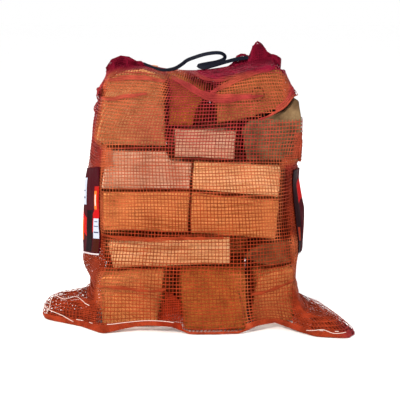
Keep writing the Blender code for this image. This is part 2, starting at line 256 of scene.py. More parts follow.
def makeNetMaterial():
    # split polypropylene tape, woven: soft gloss, crimson going to brick, with painted shade darkening it
    # towards the mouth, and paler where it lies on wood, with sawdust and painted light from the wood
    material, tree, shader = newMaterial("woven polypropylene tape, crimson")
    place = addNode(tree, "TexCoord").outputs["Object"]
    patches = addNode(tree, "TexNoise", inputs={
        "Vector": place, "Scale": 1000 / netCloth["patchMm"], "Detail": 3.0})
    fibres = addNode(tree, "TexNoise", inputs={
        "Vector": place, "Scale": 1000 / netCloth["fibreMm"], "Detail": 2.0})
    parts = addNode(tree, "SeparateXYZ", inputs={0: place})
    # brick low down to the darker crimson near the mouth: the darkening towards the top is painted shade
    grade = addNode(tree, "MapRange", {"interpolation_type": "SMOOTHSTEP"}, {
        "Value": parts.outputs["Z"], "From Min": netCloth["gradeFrom"], "From Max": netCloth["gradeTo"]})
    tips = addNode(tree, "MapRange", {"interpolation_type": "SMOOTHSTEP"}, {
        "Value": parts.outputs["X"], "From Min": netCloth["tipFrom"], "From Max": netCloth["tipTo"]})
    upper = addNode(tree, "Math", {"operation": "MAXIMUM"}, {0: grade, 1: tips})
    hue = addNode(tree, "Mix", {"data_type": "RGBA"}, {
        0: upper, 6: toLinear(netCloth["brick"]), 7: toLinear(netCloth["crimson"])})
    # sawdust on the threads, and painted light from the wood that shows through the half clear tape
    near = addNode(tree, "Attribute", {"attribute_name": "nearWoodDustAndLight"}).outputs["Fac"]
    dust = addNode(tree, "Math", {"operation": "MULTIPLY"}, {0: near, 1: netCloth["dust"]})
    dustAndWoodLightColour = addNode(tree, "Mix", {"data_type": "RGBA"}, {
        0: dust, 6: hue, 7: toLinear(netCloth["dustAndWoodLightColour"])})
    both = addNode(tree, "Math", {"operation": "MULTIPLY_ADD"}, {0: fibres, 1: 0.6, 2: patches})
    value = addNode(tree, "MapRange", inputs={
        "Value": both, "From Min": 0.55, "From Max": 1.05,
        "To Min": netCloth["dark"], "To Max": netCloth["pale"]})
    gathers = addNode(tree, "MapRange", {"interpolation_type": "SMOOTHSTEP"}, {
        "Value": parts.outputs["Z"], "From Min": netCloth["gathersFrom"],
        "From Max": netCloth["gathersTo"], "To Min": 1.0, "To Max": netCloth["gathersShade"]})
    scale = addNode(tree, "Math", {"operation": "MULTIPLY"}, {0: value, 1: gathers})
    toned = addNode(tree, "VectorMath", {"operation": "SCALE"}, {0: dustAndWoodLightColour, "Scale": scale})
    bump = addNode(tree, "Bump", inputs={"Height": fibres, "Strength": 0.5, "Distance": 0.0004})
    setInputs(shader, {"Base Color": toned, "Normal": bump, "Roughness": netCloth["roughness"],
                       "Specular IOR Level": netCloth["gloss"]})
    return material


def threadTree():
    tree = bpy.data.node_groups.new("woven threads", "GeometryNodeTree")
    tree.interface.new_socket("Geometry", in_out="INPUT", socket_type="NodeSocketGeometry")
    for name, kind in [("Width", "NodeSocketFloat"), ("Thickness", "NodeSocketFloat"),
                       ("Wander", "NodeSocketFloat"), ("Wander scale", "NodeSocketFloat"),
                       ("Seed", "NodeSocketFloat"), ("Material", "NodeSocketMaterial")]:
        tree.interface.new_socket(name, in_out="INPUT", socket_type=kind)
    tree.interface.new_socket("Geometry", in_out="OUTPUT", socket_type="NodeSocketGeometry")
    given = addNode(tree, "NodeGroupInput").outputs
    here = addNode(tree, "GeometryNodeInputPosition").outputs["Position"]
    swirl = addNode(tree, "TexNoise", {"noise_dimensions": "4D"}, {
        "Vector": here, "W": given["Seed"], "Scale": given["Wander scale"], "Detail": 1.0})
    centred = addNode(tree, "VectorMath", {"operation": "SUBTRACT"}, {
        0: swirl.outputs["Color"], 1: (0.5, 0.5, 0.5)})
    offset = addNode(tree, "VectorMath", {"operation": "SCALE"}, {0: centred, "Scale": given["Wander"]})
    moved = addNode(tree, "GeometryNodeSetPosition", inputs={
        "Geometry": given["Geometry"], "Offset": offset})
    curve = addNode(tree, "GeometryNodeMeshToCurve", inputs={"Mesh": moved})
    outward = addNode(tree, "GeometryNodeInputNamedAttribute", {"data_type": "FLOAT_VECTOR"},
                      {"Name": "outward"})
    swell = addNode(tree, "GeometryNodeInputNamedAttribute", {"data_type": "FLOAT"}, {"Name": "swell"})
    faced = addNode(tree, "GeometryNodeSetCurveNormal", {"mode": "FREE"}, {
        "Curve": curve, "Normal": outward.outputs["Attribute"]})
    section = addNode(tree, "GeometryNodeCurvePrimitiveQuadrilateral", inputs={
        "Width": given["Thickness"], "Height": given["Width"]})
    tube = addNode(tree, "GeometryNodeCurveToMesh", inputs={
        "Curve": faced, "Profile Curve": section,
        "Scale": swell.outputs["Attribute"], "Fill Caps": True})
    real = addNode(tree, "GeometryNodeRealizeInstances", inputs={"Geometry": tube})
    done = addNode(tree, "GeometryNodeSetMaterial", inputs={
        "Geometry": real, "Material": given["Material"]})
    addNode(tree, "NodeGroupOutput", inputs={0: done})
    return tree


threadNodes = threadTree()


def thread(width, thickness, wander, wanderSize, seed, **dust):  # the first three in millimetres
    return {"width": width * mm, "thickness": thickness * mm, "wander": wander * mm,
            "wanderSize": wanderSize, "seed": seed, **dust}


def weave(name, strands, settings, material):
    # strands are (points, outward directions, swell, closed)
    places, outwards, swells, edges = [], [], [], []
    first = 0
    for points, outward, swell, closed in strands:
        count = len(points)
        places.append(points)
        outwards.append(outward)
        swells.append(swell)
        edges += [(first + k, first + k + 1) for k in range(count - 1)]
        if closed:
            edges.append((first + count - 1, first))
        first += count
    places = np.concatenate(places)
    mesh = bpy.data.meshes.new(name)
    mesh.from_pydata(places.tolist(), edges, [])
    mesh.attributes.new("outward", "FLOAT_VECTOR", "POINT").data.foreach_set(
        "vector", np.concatenate(outwards).astype(np.float32).ravel())
    mesh.attributes.new("swell", "FLOAT", "POINT").data.foreach_set(
        "value", np.concatenate(swells).astype(np.float32))
    near = nearWoodDustAndLight(places, settings.get("leastDust", net["leastDust"])) * settings.get("dusty", 1.0)
    mesh.attributes.new("nearWoodDustAndLight", "FLOAT", "POINT").data.foreach_set("value", near.astype(np.float32))
    piece = addObject(name, mesh, material)
    modifier = piece.modifiers.new("threads", "NODES")
    modifier.node_group = threadNodes
    values = {"Width": settings["width"], "Thickness": settings["thickness"],
              "Wander": settings["wander"], "Wander scale": 1 / settings["wanderSize"],
              "Seed": float(settings["seed"]), "Material": material}
    for socket in threadNodes.interface.items_tree:
        if socket.in_out == "INPUT" and socket.name in values:
            modifier[socket.identifier] = values[socket.name]
    settle(piece)
    for extra in ("outward", "swell"):
        if extra in piece.data.attributes:
            piece.data.attributes.remove(piece.data.attributes[extra])
    print(" ", name, len(piece.data.polygons) * 2, "triangles")
    return piece


def cutStrand(strand, keep):  # the runs of a strand whose points are kept
    points, outward, swell, closed = strand
    if keep.all():
        return [strand]
    if closed:
        start = int(np.argmin(keep))
        points, outward, swell, keep = (np.roll(part, -start, axis=0)
                                        for part in (points, outward, swell, keep))
    runs, begin = [], None
    for k, kept in enumerate([*keep, False]):
        if kept and begin is None:
            begin = k
        if not kept and begin is not None:
            if k - begin > 1:
                runs.append((points[begin:k], outward[begin:k], swell[begin:k], False))
            begin = None
    return runs


def bothWays(block, keep):  # strands along a block of points, row by row and column by column
    normals = gridNormals(block, False)
    strands = []
    for r in range(block.shape[0]):
        strands += cutStrand((block[r], normals[r], np.ones(block.shape[1]), False), keep[r])
    for c in range(block.shape[1]):
        strands += cutStrand((block[:, c], normals[:, c], np.ones(block.shape[0]), False), keep[:, c])
    return strands


# the net's skin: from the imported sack, then drawn tight over the logs

skin = {
    "middle": (0.004, 0.044),  # where the sack's side folds and mouth lie, in plan
    "panelColumns": 88,        # warp threads in the front panel, and as many in the back one
    "bodyRows": 70,
    "bodyFoot": 0.0012,
    "bodyTop": 0.505,
    "shoulderRows": 5,
    "crownRows": 13,
    "lipRows": 5,
    "rays": 720,
    "earDirections": {"left": (-1.0, -0.1), "right": (0.66, -0.75)},
    "earFade": (0.040, 0.088),
    "crown": [(-0.210, 0.520), (-0.186, 0.535), (-0.150, 0.546), (-0.125, 0.543), (-0.110, 0.538),
              (-0.094, 0.531), (-0.072, 0.528), (-0.020, 0.529), (0.030, 0.532), (0.080, 0.541),
              (0.112, 0.550), (0.128, 0.558), (0.168, 0.561), (0.182, 0.552), (0.196, 0.530)],
    "crownRise": [(0, -0.0035), (0.4, 0.001), (0.7, 0.003), (1, 0.0045)],  # from its edge to the mouth
    "lip": [(-0.205, 0.004), (-0.196, 0.010), (-0.184, 0.019), (-0.168, 0.022), (-0.150, 0.014),
            (-0.133, 0.006), (-0.121, 0.009), (-0.112, 0.003), (-0.020, 0.005), (0.050, 0.007),
            (0.072, 0.010), (0.084, 0.019), (0.096, 0.022), (0.108, 0.016), (0.114, 0.006),
            (0.122, 0.034), (0.127, 0.037), (0.137, 0.030), (0.152, 0.012), (0.170, 0.004),
            (0.206, 0.002)],
    # shares of the body's plan: what the shoulder loses along X and Y, what it leaves the crown,
    # what the crown loses along X, and what it leaves the lip
    "shoulderIn": (0.01, 0.015),
    "crownWide": (0.99, 0.985),
    "crownIn": 0.03,
    "lipWide": 0.96,
    # shares of the slit's half width by which the lip waves and flares
    "lipWave": 0.8,
    "lipFlare": 0.3,
    "lipSink": 0.88,                     # share of its height that it loses where it sinks
    "lipLow": (-0.105, -0.080, 0.016),   # where it sinks under the tape, and how soon it rises again
    "lipLowTo": {"front": 0.104, "back": 0.070},
    "mouthHalf": 0.009,
    "margin": 0.0020,          # from a log's face to the middle of the net
    "lowest": 0.0024,
    "passes": 170,
    "relax": 0.6,              # of the way to its neighbours' average, on each pass
    "hemRows": (4, 5),         # how many rows the hem's lift and its push forward fade over
    "hemLift": [(-0.34, 0.0), (-0.19, 0.0), (-0.15, 0.008), (-0.10, 0.015), (-0.05, 0.014), (-0.01, 0.0),
                (0.09, 0.0), (0.13, 0.012), (0.17, 0.012), (0.21, 0.004), (0.26, 0.0)],
    "hemForward": [(-0.30, 0.0), (-0.245, 0.008), (-0.195, 0.030), (-0.165, 0.020), (-0.13, 0.008),
                   (-0.04, 0.006), (0.0, 0.013), (0.04, 0.013), (0.09, 0.008), (0.12, 0.0), (0.21, 0.0),
                   (0.25, 0.008), (0.333, 0.009)],
    # what the relaxing leaves where it is: columns beside the side folds, and the empty corners
    "foldHolds": (1.0, 0.9, 0.6, 0.3),
    "cornerHold": {"out": (0.205, 0.235), "up": (0.082, 0.1)},
    # how far out along X the sack's sides stand, by height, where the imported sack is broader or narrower
    "sides": [
        {"from": -0.212, "low": -0.01, "high": 0.128,
         "reach": [(0.0, -0.333), (0.010, -0.337), (0.032, -0.333), (0.038, -0.328), (0.0467, -0.321),
                   (0.0535, -0.304), (0.0565, -0.272), (0.0590, -0.242), (0.062, -0.228),
                   (0.070, -0.230), (0.083, -0.240), (0.097, -0.249), (0.114, -0.2535),
                   (0.128, -0.2535)]},
        {"from": 0.205, "low": -0.01, "high": 0.135,
         "reach": [(0.0, 0.333), (0.006, 0.333), (0.014, 0.327), (0.0255, 0.311), (0.0355, 0.299),
                   (0.0395, 0.282), (0.042, 0.263), (0.0445, 0.247), (0.047, 0.235), (0.052, 0.228),
                   (0.060, 0.223), (0.100, 0.222), (0.135, 0.228)]},
        {"from": 0.205, "low": 0.325, "high": 0.452,
         "reach": [(0.325, 0.224), (0.34, 0.221), (0.355, 0.2225), (0.40, 0.2245), (0.452, 0.2245)]},
        {"from": -0.150, "low": 0.45, "high": 0.7,
         "reach": [(0.450, -0.223), (0.459, -0.220), (0.472, -0.211), (0.485, -0.207), (0.498, -0.205),
                   (0.511, -0.2025), (0.524, -0.197), (0.537, -0.192), (0.549, -0.194)]},
        {"from": 0.150, "low": 0.452, "high": 0.7,
         "reach": [(0.452, 0.224), (0.472, 0.220), (0.485, 0.211), (0.498, 0.205), (0.511, 0.202),
                   (0.524, 0.197), (0.537, 0.192), (0.554, 0.187)]},
    ],
}


def lipShare(x, last):  # how much of its height the lip keeps: little where the tape passes over it
    start, low, rise = skin["lipLow"]
    return 1 - skin["lipSink"] * smoothStep(start, low, x) * (1 - smoothStep(last, last + rise, x))


def setSides(grid):
    for side in skin["sides"]:
        start, sign = side["from"], 1 if side["from"] > 0 else -1
        for row in grid:
            edge = (row[:, 0] * sign).max() * sign
            height = row[:, 2]
            out = ((row[:, 0] - start) * sign > 0) & (height > side["low"]) & (height < side["high"])
            share = (tableValue(side["reach"], height) - start) / (edge - start)
            row[:, 0] = np.where(out, start + (row[:, 0] - start) * share, row[:, 0])


def makeSkin():
    mesh = nodes["net_sack"].data
    tree = BVHTree.FromPolygons([v.co for v in mesh.vertices], [p.vertices[:] for p in mesh.polygons])
    mx, my = skin["middle"]
    columns = skin["panelColumns"]

    def ringAt(z):
        ring = []
        for k in range(skin["rays"]):
            a = math.pi + math.tau * k / skin["rays"]
            way = Vector((math.cos(a), math.sin(a), 0))
            hit = tree.ray_cast(Vector((mx, my, z)) + way * 0.8, -way)[0]
            ring.append((hit.x, hit.y))
        return np.array(ring)

    def panelRing(z):
        ring = ringAt(z)
        away = smoothStep(*skin["earFade"], z)
        ends = []
        for side, ear in ((-1, "left"), (1, "right")):
            ex, ey = skin["earDirections"][ear]
            way = np.array([ex + (side - ex) * away, ey * (1 - away)])
            reach = (ring - [mx, my]) @ way
            if side > 0:
                reach[: len(ring) // 4] = -1
            ends.append(int(np.argmax(reach)))
        left, right = ends
        ring = np.roll(ring, -left, axis=0)
        right = (right - left) % len(ring)
        front = resample(ring[:right + 1], columns)[:-1]
        back = resample(np.vstack([ring[right:], ring[:1]]), columns)[:-1]
        return np.vstack([front, back])

    rows = []
    foot, top = skin["bodyFoot"], skin["bodyTop"]
    for z in np.linspace(foot, top, skin["bodyRows"]):
        plan = panelRing(max(z, 0.003))
        rows.append(np.column_stack([plan, np.full(len(plan), z)]))
    plan = rows[-1][:, :2]
    inX, inY = skin["shoulderIn"]
    for s in np.linspace(0, 1, skin["shoulderRows"] + 1)[1:]:
        x = mx + (plan[:, 0] - mx) * (1 - inX * s)
        y = my + (plan[:, 1] - my) * (1 - inY * s)
        z = top + (tableValue(skin["crown"], x - mx) + skin["crownRise"][0][1] - top) * s
        rows.append(np.column_stack([x, y, z]))
    slit = skin["mouthHalf"] / np.abs(plan[:, 1] - my).max()
    wideX, wideY = skin["crownWide"]
    frontHalf = np.arange(2 * columns) < columns
    for s in np.linspace(0, 1, skin["crownRows"] + 1)[1:]:
        x = mx + (plan[:, 0] - mx) * (wideX - skin["crownIn"] * s)
        y = my + (plan[:, 1] - my) * (wideY + (slit - wideY) * s)
        z = tableValue(skin["crown"], x - mx) + tableValue(skin["crownRise"], s)
        rows.append(np.column_stack([x, y, z]))
    for s in np.linspace(0, 1, skin["lipRows"] + 1)[1:]:
        x = mx + (plan[:, 0] - mx) * skin["lipWide"]
        wave = 1 + skin["lipWave"] * s * np.sin(x * 210 + np.sign(plan[:, 1] - my) * 0.9)
        y = my + (plan[:, 1] - my) * slit * (1 + skin["lipFlare"] * s) * np.clip(wave, 0.3, 1.6)
        shares = [lipShare(x - mx, skin["lipLowTo"][half]) for half in ("front", "back")]
        height = s * tableValue(skin["lip"], x - mx) * np.where(frontHalf, *shares)
        z = tableValue(skin["crown"], x - mx) + skin["crownRise"][-1][1] + height
        rows.append(np.column_stack([x, y, z]))
    grid = np.array(rows)
    setSides(grid)

    lift = tableValue(skin["hemLift"], grid[0, :, 0]) * frontHalf
    forward = tableValue(skin["hemForward"], grid[0, :, 0]) * frontHalf
    liftRows, forwardRows = skin["hemRows"]
    for r in range(max(skin["hemRows"])):
        grid[r, :, 2] += lift * max(1 - r / liftRows, 0)
        grid[r, :, 1] -= forward * max(1 - r / forwardRows, 0)

    pins = np.zeros(grid.shape[:2])
    pins[0] = 1
    for c in (0, columns):
        for off, hold in enumerate(skin["foldHolds"]):
            for cc in {(c + off) % (2 * columns), (c - off) % (2 * columns)}:
                pins[:skin["bodyRows"], cc] = np.maximum(pins[:skin["bodyRows"], cc], hold)
    corner = smoothStep(*skin["cornerHold"]["out"], np.abs(grid[..., 0] - mx))
    pins = np.maximum(pins, corner * (1 - smoothStep(*skin["cornerHold"]["up"], grid[..., 2])))
    pins[-(skin["lipRows"] + 1):] = 1
    return grid, pins


stretched = {
    "rise": {"log_row1_middle": 0.012},   # of a far end's top
    "riseOver": (0.0, 0.3),               # shares of the log's length from its near end
    # back logs that are longer or thicker than packed, hidden too: left, right, bottom and top
    "longer": {
        "log_back_row2": (-0.012, 0.018, -0.022, 0.012),
        "log_back_row3_left": (-0.008, 0.006, 0.0, 0.006),
        "log_back_row3_right": (-0.004, 0.020, 0.0, 0.004),
        "log_back_row5": (-0.022, 0.040, -0.040, 0.004),
    },
}


def stretchLog(node, points, low, high):
    up = (points[:, 2] - low[2]) / (high[2] - low[2])
    if node in stretched["rise"]:
        back = smoothStep(*stretched["riseOver"], (points[:, 1] - low[1]) / (high[1] - low[1]))
        points[:, 2] += stretched["rise"][node] * up * back
    if node in stretched["longer"]:
        left, right, bottom, top = stretched["longer"][node]
        across = (points[:, 0] - low[0]) / (high[0] - low[0])
        points[:, 0] += left * (1 - across) + right * across
        points[:, 2] += bottom * (1 - up) + top * up
    return points


def hullPlanes(node):
    bm = bmesh.new()
    bm.from_mesh(nodes[node].data)
    bmesh.ops.remove_doubles(bm, verts=bm.verts, dist=1e-5)
    low, high = (np.array(corner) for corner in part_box(node))
    points = stretchLog(node, np.array([v.co[:] for v in bm.verts]), low, high)
    bm.free()
    bm = bmesh.new()
    for p in points:
        bm.verts.new(p)
    bmesh.ops.convex_hull(bm, input=bm.verts)
    bmesh.ops.recalc_face_normals(bm, faces=bm.faces)
    planes = {}
    for face in bm.faces:
        n = face.normal
        d = n.dot(face.verts[0].co)
        planes[(round(n.x, 2), round(n.y, 2), round(n.z, 2), round(d, 3))] = (n.x, n.y, n.z, d)
    bm.free()
    return np.array(list(planes.values())), points.min(axis=0), points.max(axis=0)


def pushOut(points, hulls, margin):
    for planes, low, high in hulls:
        near = ((points > low - margin) & (points < high + margin)).all(axis=1)
        if not near.any():
            continue
        inside = points[near]
        gaps = inside @ planes[:, :3].T - planes[:, 3]
        nearest = gaps.argmax(axis=1)
        gap = gaps[np.arange(len(inside)), nearest]
        push = np.clip(margin - gap, 0, None)
        points[near] = inside + planes[nearest, :3] * push[:, None]
    return points


def nearWoodDustAndLight(points, least):
    # how much sawdust and painted wood light the net takes: 1 on the logs' faces, least away from them, 0
    # in the mouth
    gap = np.full(len(points), 1.0)
    for planes, low, high in hulls:
        near = ((points > low - net["dustAndWoodLightSearch"]) & (points < high + net["dustAndWoodLightSearch"])).all(axis=1)
        if near.any():
            away = (points[near] @ planes[:, :3].T - planes[:, 3]).max(axis=1)
            gap[near] = np.minimum(gap[near], away)
    share = np.maximum(1 - smoothStep(*net["dustAndWoodLightGap"], gap), least)
    share = share * (1 - smoothStep(*net["dustAndWoodLightTop"], points[:, 2]))
    for polygon, factor in net["lessDustAndWoodLight"]:
        share = np.where(insidePolygon(points[:, 0], points[:, 2], polygon), share * factor, share)
    return share


def drawTight(grid, pins, hulls):
    start = grid.copy()
    hold = pins[..., None]
    shape = grid.shape
    for _ in range(skin["passes"]):
        below = np.concatenate([grid[:1], grid[:-1]])
        above = np.concatenate([grid[1:], grid[-1:]])
        average = (np.roll(grid, 1, axis=1) + np.roll(grid, -1, axis=1) + below + above) / 4
        grid = grid + skin["relax"] * (average - grid)
        grid = start * hold + grid * (1 - hold)
        flat = pushOut(grid.reshape(-1, 3).copy(), hulls, skin["margin"])
        flat[:, 2] = np.maximum(flat[:, 2], skin["lowest"])
        grid = flat.reshape(shape)
    return grid


logNames = [name for name in nodes if name.startswith("log_")]
hulls = [hullPlanes(name) for name in logNames]
skinGrid, skinPins = makeSkin()
skinGrid = drawTight(skinGrid, skinPins, hulls)
skinNormals = gridNormals(skinGrid, True)
print("net skin drawn tight over", len(logNames), "logs:", skinGrid.shape)


def ringTree(grid):  # for laying other threads on the skin
    rows, columns = grid.shape[:2]
    faces = []
    for r in range(rows - 1):
        for c in range(columns):
            n = (c + 1) % columns
            faces.append((r * columns + c, r * columns + n, (r + 1) * columns + n, (r + 1) * columns + c))
    return BVHTree.FromPolygons(grid.reshape(-1, 3).tolist(), faces)


skinTree = ringTree(skinGrid)


def layLine(line, lift):  # a strand on the skin, along x, z as seen from the front
    points, outward = [], []
    for x, z in line:
        hit, normal = skinTree.ray_cast(Vector((x, -1.0, z)), Vector((0, 1, 0)))[:2]
        if hit is not None:
            normal = -normal if normal.y > 0 else normal
            points.append((hit + normal * lift)[:])
            outward.append(normal[:])
    if len(points) < 2:
        return None
    return np.array(points), np.array(outward), np.ones(len(points)), False


# the woven net itself

# the net is stretched like a tent here, between two logs of the bottom row
tent = [(-0.064, 0.086), (-0.048, 0.086), (-0.026, 0.062), (-0.022, 0.0), (-0.082, 0.0), (-0.078, 0.04)]
net = {
    "warp": thread(1.35, 0.4, 0.9, 0.03, seed=3),
    "weft": thread(1.75, 0.4, 0.9, 0.03, seed=8),
    "weftLift": 0.4 * mm,
    "doubleLift": 0.9 * mm,
    "slip": 0.34,               # how far a weft strays, in rows
    "slipScale": (0.11, 0.055),
    "sway": 0.20,               # how far a warp strays, in columns
    "swayScale": (0.05, 0.14),
    "uneven": 0.20,             # spread of the threads' widths
    "baseRows": 34,
    "baseHeight": 1.6 * mm,
    "baseRipple": 0.3 * mm,
    # how far back the base starts where the hem is lifted, as a share of the lift
    "underHem": 5.0,
    # sawdust and painted wood light reach up to this far from a log, and not above this height
    "dustAndWoodLightSearch": 0.012,
    "dustAndWoodLightGap": (0.005, 0.015),
    "dustAndWoodLightTop": (0.526, 0.548),
    "leastDust": 0.2,
    # less of it here: x, z polygons and shares
    "lessDustAndWoodLight": [
        ([(-0.09, 0.546), (-0.045, 0.542), (-0.008, 0.538), (0.016, 0.529), (0.041, 0.522),
          (0.10, 0.538), (0.16, 0.546), (0.25, 0.5), (0.25, 0.62), (-0.1, 0.62)], 0.1),
        ([(0.090, 0.353), (0.24, 0.353), (0.24, 0.452), (0.14, 0.446), (0.090, 0.435)], 0.6),
        (tent, 0.0),
    ],
    # a corner of bark pokes out through this hole; x, z from the front
    "hole": [(0.140, 0.4475), (0.172, 0.4585), (0.192, 0.473), (0.204, 0.487), (0.240, 0.490),
             (0.240, 0.444), (0.166, 0.441)],
    "holeBack": 0.070,         # how far back along the flank it reaches, as y
    "holeMiddle": 0.467,       # at this height, and less above and below
    "holeRound": 60,
    # the net lies double here: slack drawn round the sides, the gathers under the mouth, and the tent
    "double": [
        [(-0.245, 0.0), (-0.206, 0.0), (-0.192, 0.12), (-0.198, 0.33), (-0.174, 0.345), (-0.174, 0.38),
         (-0.212, 0.40), (-0.212, 0.47), (-0.27, 0.50), (-0.27, 0.08), (-0.25, 0.07)],
        [(0.240, 0.0), (0.203, 0.0), (0.206, 0.20), (0.196, 0.33), (0.178, 0.338), (0.178, 0.358),
         (0.205, 0.37), (0.205, 0.41), (0.26, 0.43), (0.27, 0.09), (0.245, 0.07)],
        [(0.180, 0.480), (0.180, 0.535), (0.205, 0.535), (0.205, 0.480)],
        [(-0.09, 0.546), (-0.045, 0.542), (-0.008, 0.538), (0.016, 0.529), (0.041, 0.522), (0.1, 0.538),
         (0.2, 0.558), (0.2, 0.62), (-0.2, 0.62), (-0.2, 0.553), (-0.11, 0.549)],
        tent,
    ],
    # wefts have slid off these places and only warps cross them
    "bare": [
        [(-0.053, 0.538), (-0.001, 0.526), (0.034, 0.510), (0.034, 0.500), (0.011, 0.499),
         (-0.012, 0.510), (-0.049, 0.528)],
        [(-0.190, 0.497), (-0.140, 0.500), (-0.139, 0.490), (-0.208, 0.489)],
    ],
}


def addBase(grid):  # the back panel runs on under the logs to the front hem
    columns = skin["panelColumns"]
    front = grid[0, :columns + 1].copy()
    back = np.vstack([grid[0, columns:], grid[0, :1]])[::-1]
    rows = []
    for s in np.linspace(0, 1, net["baseRows"] + 1):
        row = back * (1 - s) + front * s
        row[:, 2] = net["baseHeight"] + net["baseRipple"] * np.sin(np.arange(columns + 1) * 1.3)
        rows.append(row)
    rows[-1][:, 2] = np.maximum(front[:, 2] - net["weftLift"], net["baseHeight"])
    return np.array(rows)


def at(grid, rows, columns):  # the closed grid's values at fractional rows and columns
    count = grid.shape[1]
    rows = np.clip(rows, 0, grid.shape[0] - 1.0001)
    r = rows.astype(int)
    fr = (rows - r)[:, None]
    columns = np.mod(columns, count)
    c = columns.astype(int)
    fc = (columns - c)[:, None]
    n = (c + 1) % count
    r1 = np.minimum(r + 1, grid.shape[0] - 1)
    low = grid[r, c] * (1 - fc) + grid[r, n] * fc
    high = grid[r1, c] * (1 - fc) + grid[r1, n] * fc
    return low * (1 - fr) + high * fr


def inHole(points):
    inside = insidePolygon(points[:, 0], points[:, 2], net["hole"])
    back = net["holeBack"] - net["holeRound"] * np.square(points[:, 2] - net["holeMiddle"])
    return inside & (points[:, 1] < back)


def inAny(points, polygons):
    inside = np.zeros(len(points), bool)
    for polygon in polygons:
        inside |= insidePolygon(points[:, 0], points[:, 2], polygon)
    return inside


def netStrands():
    rows, columns = skinGrid.shape[:2]
    rng = random.Random(5)
    slip = noiseGrid(rows, columns, net["slipScale"], 1, True) * net["slip"] * 2
    sway = noiseGrid(rows, columns, net["swayScale"], 2, True) * net["sway"] * 2
    slip[0] = 0
    sway[-1] = 0
    warps, wefts = [], []
    allColumns = np.arange(columns, dtype=float)
    for half in (0, 0.5):
        for c in range(columns):
            r = np.arange(rows, dtype=float)
            cc = c + half + sway[:, c]
            points, outward = at(skinGrid, r, cc), at(skinNormals, r, cc)
            swell = np.full(rows, 1 + rng.uniform(-1, 1) * net["uneven"])
            keep = ~inHole(points)
            if half:
                points = points + outward * net["doubleLift"]
                keep &= inAny(points, net["double"])
            warps += cutStrand((points, outward, swell, False), keep)
        for r in range(rows):
            rr = r + half + slip[r]
            points, outward = at(skinGrid, rr, allColumns), at(skinNormals, rr, allColumns)
            outward = outward / np.linalg.norm(outward, axis=1, keepdims=True)
            points = points + outward * net["weftLift"]
            swell = np.full(columns, 1 + rng.uniform(-1, 1) * net["uneven"])
            keep = ~inHole(points)
            if half:
                points = points + outward * net["doubleLift"]
                keep &= inAny(points, net["double"])
            else:
                keep &= ~(inAny(points, net["bare"]) & (points[:, 1] < 0))
            wefts += cutStrand((points, outward, swell, True), keep)
    base = addBase(skinGrid)
    hemLine = base[-1]
    back = net["underHem"] * tableValue(skin["hemLift"], hemLine[:, 0])
    kept = base[..., 1] >= hemLine[:, 1] + back - 1e-6
    down = np.tile([0.0, 0.0, -1.0], (max(base.shape[:2]), 1))
    for c in range(1, base.shape[1] - 1):
        warps += cutStrand((base[:, c], down[:len(base)], np.ones(len(base)), False), kept[:, c])
    for r in range(1, len(base) - 1):
        strand = (base[r] + [0, 0, 0.0005], down[:base.shape[1]], np.ones(base.shape[1]), False)
        wefts += cutStrand(strand, kept[r])
    return warps, wefts


netMaterial = makeNetMaterial()
warps, wefts = netStrands()
netWarp = weave("net_warp_threads", warps, net["warp"], netMaterial)
netWeft = weave("net_weft_threads", wefts, net["weft"], netMaterial)
netPieces = [netWarp, netWeft]


# bands where wefts have slid together, and the gathered collar

bands = {
    "thread": thread(2.4, 0.5, 1.6, 0.02, seed=21, dusty=0.6, leastDust=0.5),
    "lift": 1.2 * mm,
    "ply": 0.4 * mm,      # every other thread lies this much higher
    "ripple": 0.6 * mm,
    "step": 6 * mm,
    "taper": 0.12,        # cut off each end of the half wave that widens a band at its middle
    # each runs along x, z as seen from the front, and spreads this far at its middle
    "runs": [
        {"line": [(-0.190, 0.520), (-0.150, 0.526), (-0.110, 0.527), (-0.062, 0.519)],
         "spread": 0.009, "threads": 5},
        {"line": [(-0.198, 0.484), (-0.176, 0.483), (-0.138, 0.490), (-0.100, 0.494)],
         "spread": 0.007, "threads": 4},
        # the dense sweep under the mouth, from the middle log's top over to the right one
        {"line": [(-0.051, 0.526), (-0.030, 0.516), (-0.009, 0.505), (0.011, 0.494), (0.036, 0.487),
                  (0.082, 0.487), (0.115, 0.489)],
         "spread": 0.015, "threads": 8},
        # the drape that hangs from the mouth, and the fold that runs up along the right log's edge
        {"line": [(-0.060, 0.545), (-0.008, 0.538), (0.016, 0.531), (0.041, 0.528), (0.083, 0.533),
                  (0.115, 0.542), (0.157, 0.549)],
         "spread": 0.021, "threads": 12},
        {"line": [(0.032, 0.496), (0.055, 0.507), (0.078, 0.519), (0.103, 0.530), (0.128, 0.539),
                  (0.165, 0.547)],
         "spread": 0.012, "threads": 7},
        {"line": [(0.036, 0.478), (0.060, 0.478), (0.100, 0.486), (0.140, 0.490)],
         "spread": 0.008, "threads": 3},
        {"line": [(-0.208, 0.090), (-0.150, 0.089), (-0.100, 0.084), (-0.062, 0.088)],
         "spread": 0.006, "threads": 3},
        {"line": [(0.118, 0.076), (0.150, 0.080), (0.190, 0.090), (0.212, 0.095)],
         "spread": 0.006, "threads": 3},
        # the edges of the hole at the bark corner
        {"line": [(0.132, 0.4415), (0.150, 0.4475), (0.172, 0.4585), (0.190, 0.472), (0.202, 0.486)],
         "spread": 0.004, "threads": 3},
        {"line": [(0.166, 0.462), (0.184, 0.474), (0.196, 0.490), (0.203, 0.505)],
         "spread": 0.012, "threads": 5},
        {"line": [(-0.200, 0.193), (-0.120, 0.188), (-0.040, 0.190), (0.060, 0.191)],
         "spread": 0.008, "threads": 3},
        # both shoulders, where the panel's fold is gathered
        {"line": [(-0.200, 0.500), (-0.192, 0.520), (-0.182, 0.538)],
         "spread": 0.010, "threads": 4},
        {"line": [(0.200, 0.500), (0.196, 0.520), (0.186, 0.545)],
         "spread": 0.012, "threads": 5},
    ],
}


